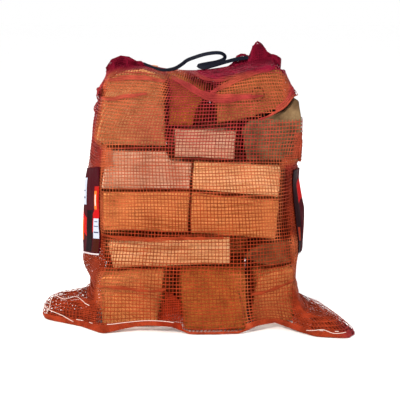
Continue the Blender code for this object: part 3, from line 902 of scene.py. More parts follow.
def layRun(run, rng):
    strands = []
    line = smoothLine(run["line"], 60)
    length = np.linalg.norm(np.diff(line, axis=0), axis=1).sum()
    line = resample(line, max(4, int(length / bands["step"])))
    steps = np.arange(len(line))
    taper = bands["taper"]
    for k in range(run["threads"]):
        share = (k + 0.5) / run["threads"] - 0.5
        ripple = bands["ripple"] * np.sin(steps * 0.9 + rng.uniform(0, math.tau))
        spread = share * run["spread"] * np.sin(math.pi * (taper + (1 - 2 * taper) * steps / steps[-1]))
        shift = np.column_stack([0 * steps, spread + ripple])
        laid = layLine(line + shift, bands["lift"] + k % 2 * bands["ply"])
        strands += [laid] if laid else []
    return strands


bandRng = random.Random(31)
bandStrands = []
for run in bands["runs"]:
    bandStrands += layRun(run, bandRng)
netPieces.append(weave("net_slid_bands", bandStrands, bands["thread"], netMaterial))


# crumpled folds: the two empty corners, and the ruffle of the mouth

folds = {
    "thread": thread(1.8, 0.4, 4, 0.02, seed=40),
    # rows of the skin, columns either side of its fold, how far out along X, lowest, and each layer's
    # depth and shift
    "corners": {"rows": (0, 10), "columns": 24, "beyond": 0.214, "lowest": 0.0055,
                "layers": [(-0.004, 0.3), (-0.009, 0.75)]},
    "clear": [[(0.219, 0.33), (0.26, 0.33), (0.26, 0.47), (0.219, 0.47)]],
    "sides": {"rows": (9, 72), "columns": 11, "beyond": 0.190, "lowest": 0.05,
              "layers": [(-0.004, 0.4), (-0.009, 0.8)]},
}


def foldStrands(fold):
    strands = []
    columns = skin["panelColumns"]
    for c0 in (0, columns):
        around = np.arange(c0 - fold["columns"], c0 + fold["columns"] + 1, dtype=float)
        for depth, shift in fold["layers"]:
            lines = []
            for r in np.arange(*fold["rows"]) + shift:
                rr = np.full(len(around), r)
                sunk = at(skinNormals, rr, around + shift) * depth
                lines.append(at(skinGrid, rr, around + shift) + sunk)
            block = np.array(lines)
            block[..., 2] = np.maximum(block[..., 2], fold["lowest"])
            out = np.abs(block[..., 0] - skin["middle"][0]) > fold["beyond"]
            flat = block.reshape(-1, 3)
            out &= ~(inHole(flat) | inAny(flat, folds["clear"])).reshape(out.shape)
            strands += bothWays(block, out)
    return strands


netPieces.append(weave("net_corner_folds", foldStrands(folds["corners"]), folds["thread"], netMaterial))
netPieces.append(weave("net_side_folds", foldStrands(folds["sides"]), folds["thread"], netMaterial))

ruffle = {
    "thread": thread(2.3, 0.45, 3.0, 0.012, seed=52),
    "from": -0.194,
    "to": 0.178,
    "columns": 88,
    "rows": 8,
    "clear": 0.003,       # how far its edge stands above the crown at the least
    "jag": 0.36,
    "jagScale": 0.40,
    # offset from the mouth line, wave height, wave length, share of the lip's height, how far it hangs
    # below the crown, and where its low part ends along X
    "layers": [(-0.011, 0.004, 0.031, 0.96, 0.006, 0.104), (-0.004, 0.005, 0.024, 1.0, 0.020, 0.104),
               (0.006, 0.005, 0.036, 0.95, 0.028, 0.060), (0.012, 0.004, 0.027, 0.90, 0.030, 0.060)],
}


def ruffleStrands():
    strands = []
    mx, my = skin["middle"]
    rng = random.Random(61)
    for offset, height, length, share, drop, last in ruffle["layers"]:
        x = np.linspace(ruffle["from"], ruffle["to"], ruffle["columns"])
        phase = rng.uniform(0, math.tau)
        jag = noiseGrid(1, len(x), (1, ruffle["jagScale"]), phase)[0]
        base = tableValue(skin["crown"], x) - drop
        rise = tableValue(skin["lip"], x) * share * lipShare(x, last) * (0.86 + ruffle["jag"] * jag)
        top = tableValue(skin["crown"], x) + ruffle["clear"] + rise
        rows = []
        for s in np.linspace(0, 1, ruffle["rows"]):
            turn = math.tau * x / length
            wave = np.sin(turn + phase) + 0.5 * np.sin(turn * 2.3 + phase * 2)
            y = my + offset * (1 - 0.3 * s) + height * (0.3 + 0.7 * s) * wave
            across = x + mx + 0.003 * s * np.sin(x * 190)
            rows.append(np.column_stack([across, y, base + (top - base) * s]))
        block = np.array(rows)
        strands += bothWays(block, np.ones(block.shape[:2], bool))
    return strands


netPieces.append(weave("net_mouth_ruffle", ruffleStrands(), ruffle["thread"], netMaterial))

hem = {
    "thread": thread(2.6, 0.5, 1.2, 0.02, seed=71),
    "rows": [0.05, 0.3, 0.55, 0.8, 1.05, 1.3, 1.6],
    "lift": 0.9 * mm,
    "tuckedUnder": (-0.022, 0.100),   # from x to x, where all but its lowest rows lie under the log
    "tuckedRow": 0.5,
}
stitches = {
    "thread": thread(1.3, 0.9, 1.0, 0.03, seed=81),
    "colour": "E6CFC4",
    # the darker tone between the thread's turns: painted shade
    "shade": "B98E86",
    "turns": 260.0,
    "roughness": 0.6,
    "hemLift": 1.8 * mm,
    "earLift": 1.6 * mm,
    "hemRow": 1.75,
    "hemSpans": [(-0.262, -0.240), (-0.232, -0.214), (-0.206, -0.194), (-0.187, -0.040), (0.236, 0.246),
                 (0.256, 0.270), (0.280, 0.296)],
    "ears": [
        [(-0.331, 0.030), (-0.316, 0.024), (-0.290, 0.018), (-0.262, 0.008)],
        [(-0.326, 0.014), (-0.318, 0.028), (-0.310, 0.050), (-0.282, 0.052), (-0.252, 0.056),
         (-0.225, 0.048)],
        [(0.232, 0.010), (0.262, 0.016), (0.285, 0.010), (0.310, 0.012)],
    ],
}


def hemStrand(row, lift):
    across = np.arange(0, skin["panelColumns"] + 0.01)
    rr = np.full(len(across), row)
    outward = at(skinNormals, rr, across)
    outward = outward / np.linalg.norm(outward, axis=1, keepdims=True)
    return at(skinGrid, rr, across) + outward * lift, outward, np.ones(len(across)), False


hemBandStrands = []
for row in hem["rows"]:
    strand = hemStrand(row, hem["lift"])
    x = strand[0][:, 0]
    tucked = (x > hem["tuckedUnder"][0]) & (x < hem["tuckedUnder"][1]) & (row > hem["tuckedRow"])
    hemBandStrands += cutStrand(strand, ~tucked)
netPieces.append(weave("net_hem_band", hemBandStrands, hem["thread"], netMaterial))


def makeStitchMaterial():
    # twisted polyester thread, white with red dust: its turns show as fine slanting bands, with painted
    # shade between them
    material, tree, shader = newMaterial("white polyester sewing thread")
    place = addNode(tree, "TexCoord").outputs["Object"]
    twist = addNode(tree, "TexWave", {"bands_direction": "DIAGONAL"}, {
        "Vector": place, "Scale": stitches["turns"], "Distortion": 2.0})
    tone = addNode(tree, "ValToRGB", {"stops": [(0.1, stitches["shade"]), (0.7, stitches["colour"])]},
                   {"Fac": twist.outputs["Fac"]})
    setInputs(shader, {"Base Color": tone, "Roughness": stitches["roughness"]})
    return material


stitchStrands = []
strand = hemStrand(stitches["hemRow"], stitches["hemLift"])
for x0, x1 in stitches["hemSpans"]:
    stitchStrands += cutStrand(strand, (strand[0][:, 0] > x0) & (strand[0][:, 0] < x1))
for line in stitches["ears"]:
    laid = layLine(smoothLine(line, 24), stitches["earLift"])
    stitchStrands += [laid] if laid else []
stitchPiece = weave("hem_stitch_thread", stitchStrands, stitches["thread"], makeStitchMaterial())
print("net woven")


# printed film band round the back

film = {
    "bottom": 0.128,
    "top": 0.320,
    "tilt": 0.20,            # it climbs as it comes forward
    "leftFront": -0.052,     # how far forward it comes on the left flank, as y
    "rightFront": -0.012,
    "lift": 2.2 * mm,
    "thickness": 0.4 * mm,
    "finer": 2,
    "leastLift": 1.4 * mm,
    "crumple": 1.5 * mm,
    "crumpleScale": (0.09, 0.045),
    "wrinkle": 0.6 * mm,
    "wrinkleScale": (0.05, 0.22),
    "repeats": 3,            # of the print along the band
    "roughness": 0.45,
    "gloss": 0.006,
    "crinkleMm": 9,
    "ground": "3A050F",
    "sweep": "A80E10",
    "sweepTop": (0.125, 0.045),   # its middle height and its swing, in metres
    "sweepHeight": 0.042,
    # from u, to u as shares of a repeat, from v, to v in metres, colour
    "patches": [
        (0.90, 1.00, 0.100, 0.150, "9C140E"),
        (0.72, 0.860, 0.006, 0.098, "14060A"),
        (0.88, 0.985, 0.036, 0.080, "AEB6C8"),
        (0.89, 0.975, 0.048, 0.051, "3C4258"),
        (0.89, 0.975, 0.062, 0.064, "3C4258"),
        (0.90, 0.965, 0.072, 0.074, "3C4258"),
        (0.88, 0.985, 0.006, 0.035, "3A150D"),
        (0.90, 0.950, 0.100, 0.140, "C9682A"),
        (0.915, 0.932, 0.108, 0.132, "D9C9C4"),
        (0.40, 0.47, 0.020, 0.180, "14090D"),
        (0.52, 0.70, 0.110, 0.170, "AEB6C8"),
        (0.55, 0.67, 0.124, 0.128, "3C4258"),
        (0.55, 0.67, 0.140, 0.143, "3C4258"),
        (0.56, 0.64, 0.030, 0.080, "C9682A"),
        (0.20, 0.27, 0.030, 0.075, "C9682A"),
        (0.0, 0.110, 0.0032, 0.200, "1E060B"),
        (0.030, 0.080, 0.030, 0.060, "8A2A14"),
        (0, 1, 0, 0.0032, "CFC2C6"),    # the white line along its bottom edge
    ],
}


def makeFilmMaterial():
    # thin polypropylene film, printed and laminated: glossy, with fine crinkles
    material, tree, shader = newMaterial("printed polypropylene film")
    uv = addNode(tree, "UVMap", {"uv_map": "band"}).outputs["UV"]
    split = addNode(tree, "SeparateXYZ", inputs={0: uv})
    u = addNode(tree, "Math", {"operation": "FRACT"}, {0: split.outputs["X"]})
    v = split.outputs["Y"]
    swing = addNode(tree, "Math", {"operation": "SINE"}, {
        0: addNode(tree, "Math", {"operation": "MULTIPLY"}, {0: u, 1: math.tau})})
    crest = addNode(tree, "Math", {"operation": "MULTIPLY_ADD"}, {
        0: swing, 1: film["sweepTop"][1], 2: film["sweepTop"][0]})
    under = addNode(tree, "Math", {"operation": "LESS_THAN"}, {0: v, 1: crest})
    lower = addNode(tree, "Math", {"operation": "SUBTRACT"}, {0: crest, 1: film["sweepHeight"]})
    over = addNode(tree, "Math", {"operation": "GREATER_THAN"}, {0: v, 1: lower})
    sweep = addNode(tree, "Math", {"operation": "MULTIPLY"}, {0: under, 1: over})
    colour = addNode(tree, "Mix", {"data_type": "RGBA"}, {
        0: sweep, 6: toLinear(film["ground"]), 7: toLinear(film["sweep"])})
    for u0, u1, v0, v1, code in film["patches"]:
        inU = addNode(tree, "Math", {"operation": "COMPARE"}, {
            0: u, 1: (u0 + u1) / 2, 2: (u1 - u0) / 2})
        inV = addNode(tree, "Math", {"operation": "COMPARE"}, {
            0: v, 1: (v0 + v1) / 2, 2: (v1 - v0) / 2})
        mask = addNode(tree, "Math", {"operation": "MULTIPLY"}, {0: inU, 1: inV})
        colour = addNode(tree, "Mix", {"data_type": "RGBA"}, {0: mask, 6: colour, 7: toLinear(code)})
    crinkle = addNode(tree, "TexNoise", inputs={
        "Vector": addNode(tree, "TexCoord").outputs["Object"], "Scale": 1000 / film["crinkleMm"],
        "Detail": 3.0, "Distortion": 1.2})
    bump = addNode(tree, "Bump", inputs={"Height": crinkle, "Strength": 0.5, "Distance": 0.0012})
    setInputs(shader, {"Base Color": colour, "Normal": bump, "Roughness": film["roughness"],
                       "Specular IOR Level": film["gloss"]})
    return material


def makeFilm():
    columns = skin["panelColumns"]
    rowOf = skin["bodyRows"] - 1
    step = (skin["bodyTop"] - skin["bodyFoot"]) / rowOf
    low, high = film["bottom"] / step, film["top"] / step
    middleRow = int((low + high) / 2)
    ys = skinGrid[middleRow, :, 1]
    right = next(c for c in range(columns // 2, columns + 1) if ys[c] > film["rightFront"])
    left = next(c for c in range(columns // 2, 0, -1) if ys[c] > film["leftFront"])
    across = np.linspace(right, 2 * columns + left, (2 * columns + left - right) * film["finer"] + 1)
    depth = at(skinGrid, np.full(len(across), middleRow), across)[:, 1]
    climb = film["tilt"] * np.clip(skin["middle"][1] - depth, 0, None) / step
    upward = np.linspace(low, high, int((high - low) * film["finer"]) + 1)
    soft = noiseGrid(len(upward), len(across), film["crumpleScale"], 9)
    fine = noiseGrid(len(upward), len(across), film["wrinkleScale"], 10)
    rows = []
    for i, r in enumerate(upward):
        rr = r + climb
        base, normal = at(skinGrid, rr, across), at(skinNormals, rr, across)
        out = film["lift"] + film["crumple"] * (0.5 + soft[i]) + film["wrinkle"] * (0.5 + fine[i])
        rows.append(base + normal * np.maximum(out, film["leastLift"])[:, None])
    grid = np.array(rows)
    steps = np.linalg.norm(np.diff(grid[len(rows) // 2], axis=0), axis=1)
    lengths = np.concatenate([[0], np.cumsum(steps)])
    count = len(across)
    mesh = bpy.data.meshes.new("film_band")
    faces = [(r * count + c, r * count + c + 1, (r + 1) * count + c + 1, (r + 1) * count + c)
             for r in range(len(rows) - 1) for c in range(count - 1)]
    mesh.from_pydata(grid.reshape(-1, 3).tolist(), [], faces)
    layer = mesh.uv_layers.new(name="band")
    heights = np.linspace(0, film["top"] - film["bottom"], len(rows))
    for loop in mesh.loops:
        r, c = divmod(loop.vertex_index, count)
        layer.data[loop.index].uv = (lengths[c] / lengths[-1] * film["repeats"] * 0.99998, heights[r])
    mesh.shade_smooth()
    piece = addObject("film_band", mesh, makeFilmMaterial())
    wall = piece.modifiers.new("wall", "SOLIDIFY")
    wall.thickness = film["thickness"]
    wall.offset = 1.0
    settle(piece)
    return piece


filmBand = makeFilm()
print("film band made:", len(filmBand.data.polygons), "faces")


# flat tape through the mouth

tape = {
    "width": 8.0 * mm,
    "thickness": 1.8 * mm,
    "offset": (0.0039, 0.0502, 0.0),
    "route": [(-0.118, -0.004, 0.550), (-0.096, -0.005, 0.541), (-0.074, -0.006, 0.536),
              (-0.050, -0.007, 0.540), (-0.034, -0.009, 0.549), (-0.022, -0.012, 0.558),
              (-0.004, -0.014, 0.565), (0.016, -0.015, 0.571), (0.036, -0.014, 0.574),
              (0.051, -0.010, 0.573), (0.059, -0.005, 0.567), (0.057, -0.002, 0.560),
              (0.042, -0.002, 0.554), (0.020, -0.003, 0.550), (0.002, -0.005, 0.546),
              (0.014, -0.009, 0.542), (0.036, -0.009, 0.547), (0.060, -0.008, 0.554),
              (0.084, -0.007, 0.560), (0.104, -0.006, 0.563), (0.120, -0.006, 0.566)],
    "facing": (0.0, -0.97, 0.26),   # which way its flat side looks
    "twist": 0.18,                  # and how far it turns from that, in radians
    "ribMm": 1.6,
    "cordMm": 1.9,
    "roughness": 0.45,
    "gloss": 0.08,
    "steps": 150,
    "black": "05060A",
    # painted highlight on the crests of the ribs
    "ribCrestHighlight": "141A2E",
}


def makeTapeMaterial():
    # flat woven polyester tape, nearly black: ribs across it, a dull sheen, and a painted bluish highlight
    # on the crests of the ribs
    material, tree, shader = newMaterial("woven black polyester tape")
    uv = addNode(tree, "UVMap", {"uv_map": "along"}).outputs["UV"]
    split = addNode(tree, "SeparateXYZ", inputs={0: uv})
    ribs = addNode(tree, "Math", {"operation": "SINE"}, {
        0: addNode(tree, "Math", {"operation": "MULTIPLY"}, {
            0: split.outputs["X"], 1: math.tau / (tape["ribMm"] * mm)})})
    lines = addNode(tree, "Math", {"operation": "SINE"}, {
        0: addNode(tree, "Math", {"operation": "MULTIPLY"}, {
            0: split.outputs["Y"], 1: math.tau / (tape["cordMm"] * mm)})})
    height = addNode(tree, "Math", {"operation": "MULTIPLY"}, {0: ribs, 1: lines})
    half = addNode(tree, "Math", {"operation": "MULTIPLY_ADD"}, {0: height, 1: 0.5, 2: 0.5})
    tone = addNode(tree, "ValToRGB", {"stops": [(0.2, tape["black"]), (0.95, tape["ribCrestHighlight"])]},
                   {"Fac": half})
    bump = addNode(tree, "Bump", inputs={"Height": half, "Strength": 0.6, "Distance": 0.0003})
    setInputs(shader, {"Base Color": tone, "Normal": bump, "Roughness": tape["roughness"],
                       "Specular IOR Level": tape["gloss"]})
    return material


def makeTape():
    line = smoothLine(np.array(tape["route"]) + tape["offset"], tape["steps"])
    along = np.gradient(line, axis=0)
    along /= np.linalg.norm(along, axis=1, keepdims=True)
    across = np.cross(along, tape["facing"])
    across /= np.linalg.norm(across, axis=1, keepdims=True)
    turn = tape["twist"] * np.sin(np.linspace(0, 9, len(line)))
    up = np.cross(along, across)
    side = across * np.cos(turn)[:, None] + up * np.sin(turn)[:, None]
    face = np.cross(along, side)
    w, t = tape["width"] / 2, tape["thickness"] / 2
    section = [(-w, -t * 0.4), (-w * 0.9, -t), (0, -t), (w * 0.9, -t), (w, -t * 0.4),
               (w, t * 0.4), (w * 0.9, t), (0, t), (-w * 0.9, t), (-w, t * 0.4)]
    bm = bmesh.new()
    layer = bm.loops.layers.uv.new("along")
    rings = [[bm.verts.new(p + s * a + f * b) for a, b in section] for p, s, f in zip(line, side, face)]
    walked = np.concatenate([[0], np.cumsum(np.linalg.norm(np.diff(line, axis=0), axis=1))])
    for i in range(len(rings) - 1):
        for k in range(len(section)):
            n = (k + 1) % len(section)
            quad = bm.faces.new((rings[i][k], rings[i][n], rings[i + 1][n], rings[i + 1][k]))
            for loop, (step, corner) in zip(quad.loops, ((i, k), (i, n), (i + 1, n), (i + 1, k))):
                loop[layer].uv = (walked[step], section[corner][0])
    bm.faces.new(rings[0])
    bm.faces.new(reversed(rings[-1]))
    bmesh.ops.recalc_face_normals(bm, faces=bm.faces)
    mesh = bpy.data.meshes.new("drawstring_tape")
    bm.to_mesh(mesh)
    bm.free()
    return addObject("drawstring_tape", mesh, makeTapeMaterial()), line, float(walked[-1])


tapePiece, tapeLine, tapeLength = makeTape()
print("drawstring tape made:", round(tapeLength, 3), "m")


# split and sawn logs

woodTones = {
    "pale": {"light": "E5B688", "middle": "DDA26E", "dark": "AF6F42", "rough": 0.78},
    "golden": {"light": "C28962", "middle": "B5764A", "dark": "854F2B", "rough": 0.8},
    "orange": {"light": "D78E56", "middle": "C67742", "dark": "8A4C23", "rough": 0.8},
    "amber": {"light": "A96E41", "middle": "9B5C32", "dark": "6C3B1B", "rough": 0.8},
    "pink": {"light": "D6AE93", "middle": "C8977A", "dark": "99674E", "rough": 0.78},
    "brown": {"light": "BA6C31", "middle": "9E5724", "dark": "643212", "rough": 0.82},
    "brown bark": {"light": "9A6640", "middle": "74462A", "dark": "402618", "rough": 0.9},
    "bark": {"light": "80684A", "middle": "654E36", "dark": "3B2C1D", "rough": 0.9},
}
logs = {
    "gloss": 0.08,
    "rings": 3.4 * mm,       # drawn coarse so that they show
    "knotRim": 1.8 * mm,
    "speckleMm": 3.2,
    "streakMm": 14,
    "stainMm": 60,
    "blotchMm": 32,          # on bark, with the plates between its cracks
    "plateMm": 13,
    "barkCracks": 0.14,
    "barkCrack": "2E241B",
    "check": "3A2010",       # drying cracks in a sawn end
    "knot": "2A150A",
    "fibre": 1.1 * mm,
    "ridge": 0.7 * mm,       # height of the split surface's ridges
    "swale": 1.6 * mm,       # depth of its broad hollows
    "sawnSwale": 0.15 * mm,
    "ridgeScale": (9, 120),  # a metre, along the log and across it
    "swaleScale": 22,
    "sawnFacing": (0.7, 0.9),   # how squarely a face looks along the log where it is sawn
    "sharpDegrees": 38,
    "lowest": 0.0025,
    "endOn": ("log_row1", "log_row6", "log_row2_right", "log_row5_right"),
    "frontLevel": 3,
    "backLevel": 2,
    # tone, pith as an offset from the log's middle across its section, knots as x, z, radius, strength
    "finish": {
        "log_row1_left": ("golden", (0.05, -0.09), []),
        "log_row1_middle": ("brown", (-0.06, -0.08), []),
        "log_row1_right": ("amber", (0.04, -0.06), [(0.130, 0.493, 0.013, 0.7)]),
        "log_row2_middle": ("pink", (0.02, -0.07), []),
        "log_row2_right": ("bark", (-0.06, -0.06), []),
        "log_row3_left": ("pink", (0.05, 0.05), [(-0.050, 0.341, 0.007, 0.25)]),
        "log_row3_right": ("pale", (0.06, -0.05), []),
        "log_row4_left": ("orange", (0.05, -0.06), []),
        "log_row4_right": ("orange", (0.05, 0.05), []),
        "log_row5_left": ("pale", (0.06, 0.03), []),
        "log_row5_right": ("brown bark", (-0.03, -0.05), []),
        "log_row6_left": ("orange", (0.06, 0.07), [(-0.105, 0.080, 0.010, 0.25)]),
        "log_row6_middle": ("brown", (-0.05, 0.09), []),
        "log_row6_right": ("orange", (-0.07, 0.05), []),
        "log_back_row2": ("pale", (0.03, -0.06), []),
        "log_back_row3_left": ("orange", (0.04, -0.06), []),
        "log_back_row3_right": ("pink", (-0.05, 0.05), []),
        "log_back_row4_left": ("pale", (0.05, 0.06), []),
        "log_back_row4_right": ("orange", (-0.05, -0.05), []),
        "log_back_row5": ("orange", (0.05, -0.05), []),
    },
    "slots": {"pale": "wood_pale", "golden": "wood_orange", "orange": "wood_orange",
              "amber": "wood_orange", "brown": "wood_orange", "pink": "wood_pink", "bark": "bark",
              "brown bark": "bark"},
    # hidden far ends swell until they meet their neighbours, from and to these shares of their length,
    # in slices this high, to these x
    "swellOver": (0.2, 0.75),
    "slice": 0.008,
    "leastHalf": 0.004,
    "reach": {
        "log_row1_left": {"right": -0.0540},
        "log_row1_middle": {"left": -0.0575, "right": 0.0490},
        "log_row1_right": {"left": 0.0310},
        "log_row2_right": {"left": 0.0950},
        "log_row5_right": {"left": 0.1030},
        "log_row6_left": {"right": -0.0430},
        "log_row6_middle": {"left": -0.0510, "right": 0.1130},
        "log_row6_right": {"left": 0.1100},
    },
}


def makeWoodMaterial(name, tone, knots):
    # seasoned hardwood, split along its fibres and sawn across: dull, with rings and fine streaks
    # grain holds metres along the log, from the pith and round it; sawn is 1 on a sawn end
    material, tree, shader = newMaterial(name)
    grain = addNode(tree, "Attribute", {"attribute_name": "grain"}).outputs["Vector"]
    sawn = addNode(tree, "Attribute", {"attribute_name": "sawn"}).outputs["Fac"]
    place = addNode(tree, "TexCoord").outputs["Object"]
    parts = addNode(tree, "SeparateXYZ", inputs={0: grain})
    stretched = addNode(tree, "VectorMath", {"operation": "MULTIPLY"}, {0: grain, 1: (0.045, 1.0, 1.0)})
    fibres = addNode(tree, "TexNoise", inputs={
        "Vector": stretched, "Scale": 1 / logs["fibre"] / 2.2, "Detail": 4.0, "Roughness": 0.6})
    broad = addNode(tree, "VectorMath", {"operation": "MULTIPLY"}, {0: grain, 1: (0.12, 1.0, 1.0)})
    streaks = addNode(tree, "TexNoise", inputs={
        "Vector": broad, "Scale": 1000 / logs["streakMm"], "Detail": 3.0})
    wobble = addNode(tree, "Math", {"operation": "MULTIPLY_ADD"}, {
        0: streaks, 1: 2.2, 2: addNode(tree, "Math", {"operation": "DIVIDE"}, {
            0: parts.outputs["Y"], 1: logs["rings"]})})
    ring = addNode(tree, "Math", {"operation": "FRACT"}, {0: wobble})
    ringTone = addNode(tree, "MapRange", {"interpolation_type": "SMOOTHSTEP"}, {
        "Value": ring, "From Min": 0.45, "From Max": 0.95, "To Min": 0.0, "To Max": 0.34})
    shade = addNode(tree, "Math", {"operation": "MULTIPLY_ADD"}, {0: fibres, 1: 0.9, 2: ringTone})
    shade = addNode(tree, "Math", {"operation": "MULTIPLY_ADD"}, {0: streaks, 1: 0.7, 2: shade})
    colour = addNode(tree, "ValToRGB", {"stops": [
        (0.34, tone["light"]), (0.54, tone["middle"]), (0.86, tone["dark"])]},
        {"Fac": addNode(tree, "Math", {"operation": "MULTIPLY"}, {0: shade, 1: 0.62})})
    stains = addNode(tree, "TexNoise", inputs={"Vector": place, "Scale": 1000 / logs["stainMm"],
                                             "Detail": 2.0})
    stained = addNode(tree, "Mix", {"data_type": "RGBA", "blend_type": "MULTIPLY"}, {
        0: addNode(tree, "MapRange", inputs={
            "Value": stains, "From Min": 0.5, "From Max": 0.75, "To Max": 0.3}),
        6: colour, 7: toLinear(tone["dark"])})
    angle = addNode(tree, "Math", {"operation": "DIVIDE"}, {
        0: parts.outputs["Z"], 1: parts.outputs["Y"]})
    checks = addNode(tree, "TexNoise", {"noise_dimensions": "2D"}, {
        "Vector": addNode(tree, "CombineXYZ", inputs={
            "X": angle, "Y": addNode(tree, "Math", {"operation": "MULTIPLY"}, {
                0: parts.outputs["Y"], 1: 0.6})}),
        "Scale": 16.0, "Detail": 3.0})
    crack = addNode(tree, "MapRange", inputs={
        "Value": checks, "From Min": 0.66, "From Max": 0.72, "To Max": 0.55})
    crackOnEnd = addNode(tree, "Math", {"operation": "MULTIPLY"}, {0: crack, 1: sawn})
    result = addNode(tree, "Mix", {"data_type": "RGBA"}, {
        0: crackOnEnd, 6: stained, 7: toLinear(logs["check"])})
    spot = addNode(tree, "SeparateXYZ", inputs={0: place})
    for kx, kz, radius, strength in knots:
        dx = addNode(tree, "Math", {"operation": "SUBTRACT"}, {0: spot.outputs["X"], 1: kx})
        dz = addNode(tree, "Math", {"operation": "SUBTRACT"}, {0: spot.outputs["Z"], 1: kz})
        flat = addNode(tree, "CombineXYZ", inputs={"X": dx, "Y": dz})
        far = addNode(tree, "VectorMath", {"operation": "LENGTH"}, {0: flat}).outputs["Value"]
        rim = addNode(tree, "Math", {"operation": "COMPARE"}, {0: far, 1: radius, 2: logs["knotRim"]})
        core = addNode(tree, "Math", {"operation": "LESS_THAN"}, {0: far, 1: radius * 0.45})
        both = addNode(tree, "Math", {"operation": "MULTIPLY_ADD"}, {0: core, 1: 0.45, 2: rim})
        result = addNode(tree, "Mix", {"data_type": "RGBA"}, {
            0: addNode(tree, "Math", {"operation": "MULTIPLY"}, {0: both, 1: strength}),
            6: result, 7: toLinear(logs["knot"])})
    speckle = addNode(tree, "TexNoise", inputs={
        "Vector": place, "Scale": 1000 / logs["speckleMm"], "Detail": 2.0, "Roughness": 0.7})
    fleck = addNode(tree, "MapRange", inputs={
        "Value": speckle, "From Min": 0.34, "From Max": 0.66, "To Min": 0.76, "To Max": 1.20})
    flecked = addNode(tree, "VectorMath", {"operation": "SCALE"}, {0: result, "Scale": fleck})
    bump = addNode(tree, "Bump", inputs={"Height": shade, "Strength": 0.55, "Distance": 0.0009})
    setInputs(shader, {"Base Color": flecked, "Normal": bump, "Roughness": tone["rough"],
                       "Specular IOR Level": logs["gloss"]})
    return material


def makeBarkMaterial(name, tone):
    # smooth grey-brown bark: mottled, with shallow cracks along the log
    material, tree, shader = newMaterial(name)
    place = addNode(tree, "TexCoord").outputs["Object"]
    blotches = addNode(tree, "TexNoise", inputs={
        "Vector": place, "Scale": 1000 / logs["blotchMm"], "Detail": 5.0, "Roughness": 0.62})
    tall = addNode(tree, "VectorMath", {"operation": "MULTIPLY"}, {0: place, 1: (1.0, 1.0, 0.35)})
    plates = addNode(tree, "TexVoronoi", {"feature": "DISTANCE_TO_EDGE"}, {
        "Vector": tall, "Scale": 1000 / logs["plateMm"]})
    cracks = addNode(tree, "MapRange", inputs={
        "Value": plates, "From Min": 0.0, "From Max": 0.09, "To Min": logs["barkCracks"], "To Max": 0.0})
    colour = addNode(tree, "ValToRGB", {"stops": [
        (0.3, tone["dark"]), (0.5, tone["middle"]), (0.72, tone["light"])]}, {"Fac": blotches})
    darkened = addNode(tree, "Mix", {"data_type": "RGBA"}, {
        0: cracks, 6: colour, 7: toLinear(logs["barkCrack"])})
    height = addNode(tree, "Math", {"operation": "MULTIPLY_ADD"}, {0: blotches, 1: 0.8, 2: plates})
    bump = addNode(tree, "Bump", inputs={"Height": height, "Strength": 0.7, "Distance": 0.0022})
    setInputs(shader, {"Base Color": darkened, "Normal": bump, "Roughness": tone["rough"],
                       "Specular IOR Level": logs["gloss"]})
    return material


def swellFarEnd(node, points, low, high):
    middle = (low[0] + high[0]) / 2
    bins = np.round(points[:, 2] / logs["slice"])
    for side, target in logs["reach"].get(node, {}).items():
        sign = 1 if side == "right" else -1
        edge = np.zeros(len(points))
        for b in np.unique(bins):
            near = np.abs(bins - b) <= 1
            edge[bins == b] = (points[near, 0] * sign).max() * sign
        far = smoothStep(*logs["swellOver"], (points[:, 1] - low[1]) / (high[1] - low[1]))
        on = ((points[:, 0] - middle) * sign > 0) & ((target - edge) * sign > 0)
        least = logs["leastHalf"]
        reach = np.where(np.abs(edge - middle) > least, edge - middle, least * sign)
        stretch = (target - middle) / reach
        moved = middle + (points[:, 0] - middle) * stretch
        points[:, 0] = np.where(on, points[:, 0] + (moved - points[:, 0]) * far, points[:, 0])
    return stretchLog(node, points, low, high)


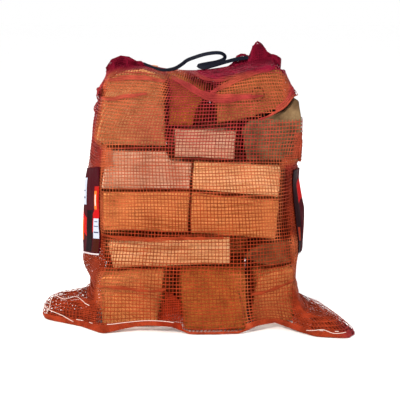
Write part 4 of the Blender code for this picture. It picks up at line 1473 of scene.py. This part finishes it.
def makeLog(node):
    toneName, pith, knots = logs["finish"][node]
    bm = bmesh.new()
    bm.from_mesh(nodes[node].data)
    bmesh.ops.remove_doubles(bm, verts=bm.verts, dist=1e-5)
    bmesh.ops.join_triangles(bm, faces=bm.faces, cmp_seam=False, cmp_sharp=False, cmp_uvs=False,
                             cmp_vcols=False, cmp_materials=False,
                             angle_face_threshold=math.radians(8),
                             angle_shape_threshold=math.radians(50))
    mesh = bpy.data.meshes.new(node + "_wood")
    bm.to_mesh(mesh)
    bm.free()
    tone = woodTones[toneName]
    if toneName.endswith("bark"):
        material = makeBarkMaterial("bark of " + node, tone)
    else:
        material = makeWoodMaterial("split " + toneName + " hardwood, " + node, tone, knots)
    piece = addObject(node + "_wood", mesh, material)
    finer = piece.modifiers.new("finer", "SUBSURF")
    finer.subdivision_type = "SIMPLE"
    level = logs["backLevel"] if node.startswith("log_back") else logs["frontLevel"]
    finer.levels = finer.render_levels = level
    settle(piece)

    mesh = piece.data
    count = len(mesh.vertices)
    points, normals = np.empty((count, 3)), np.empty((count, 3))
    mesh.vertices.foreach_get("co", points.ravel())
    mesh.vertex_normals.foreach_get("vector", normals.ravel())
    low, high = (np.array(corner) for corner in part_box(node))
    points = swellFarEnd(node, points, low, high)
    axis, others = (1, [0, 2]) if node.startswith(logs["endOn"]) else (0, [1, 2])
    middle = (low + high) / 2
    fromPith = points[:, others] - (middle[others] + np.array(pith))
    radial = np.linalg.norm(fromPith, axis=1)
    angle = np.arctan2(fromPith[:, 1], fromPith[:, 0])
    along = points[:, axis] - low[axis]
    grain = np.column_stack([along, radial, angle * radial.mean()])
    sawn = smoothStep(*logs["sawnFacing"], np.abs(normals[:, axis]))
    seed = logNames.index(node)
    push = np.zeros(count)
    (long, cross), broad = logs["ridgeScale"], logs["swaleScale"]
    for i, (p, g, s) in enumerate(zip(points, grain, sawn)):
        ridge = noise.noise(Vector((g[0] * long + seed * 5, g[1] * cross, g[2] * cross)))
        swale = noise.noise(Vector((p[0] * broad + seed, p[1] * broad, p[2] * broad)))
        split = logs["ridge"] * (ridge - 0.3) - logs["swale"] * max(swale, 0)
        push[i] = split * (1 - s) - logs["sawnSwale"] * s * abs(swale)
    points = points + normals * push[:, None]
    points[:, 2] = np.maximum(points[:, 2], logs["lowest"])
    mesh.vertices.foreach_set("co", points.ravel())
    mesh.attributes.new("grain", "FLOAT_VECTOR", "POINT").data.foreach_set(
        "vector", grain.astype(np.float32).ravel())
    mesh.attributes.new("sawn", "FLOAT", "POINT").data.foreach_set("value", sawn.astype(np.float32))
    mesh.shade_smooth()
    mesh.set_sharp_from_angle(angle=math.radians(logs["sharpDegrees"]))
    mesh.update()
    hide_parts(node)
    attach(piece, "root")
    return len(mesh.polygons) * 2


total = sum(makeLog(name) for name in logNames)
print("logs made:", total, "triangles")


# what moves with what, and what stands for what

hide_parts("net_sack")
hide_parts("net_sack")
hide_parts("label_band")
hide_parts("drawstring")
for piece in [*netPieces, stitchPiece, filmBand, tapePiece]:
    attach(piece, "root")

print("pieces placed")
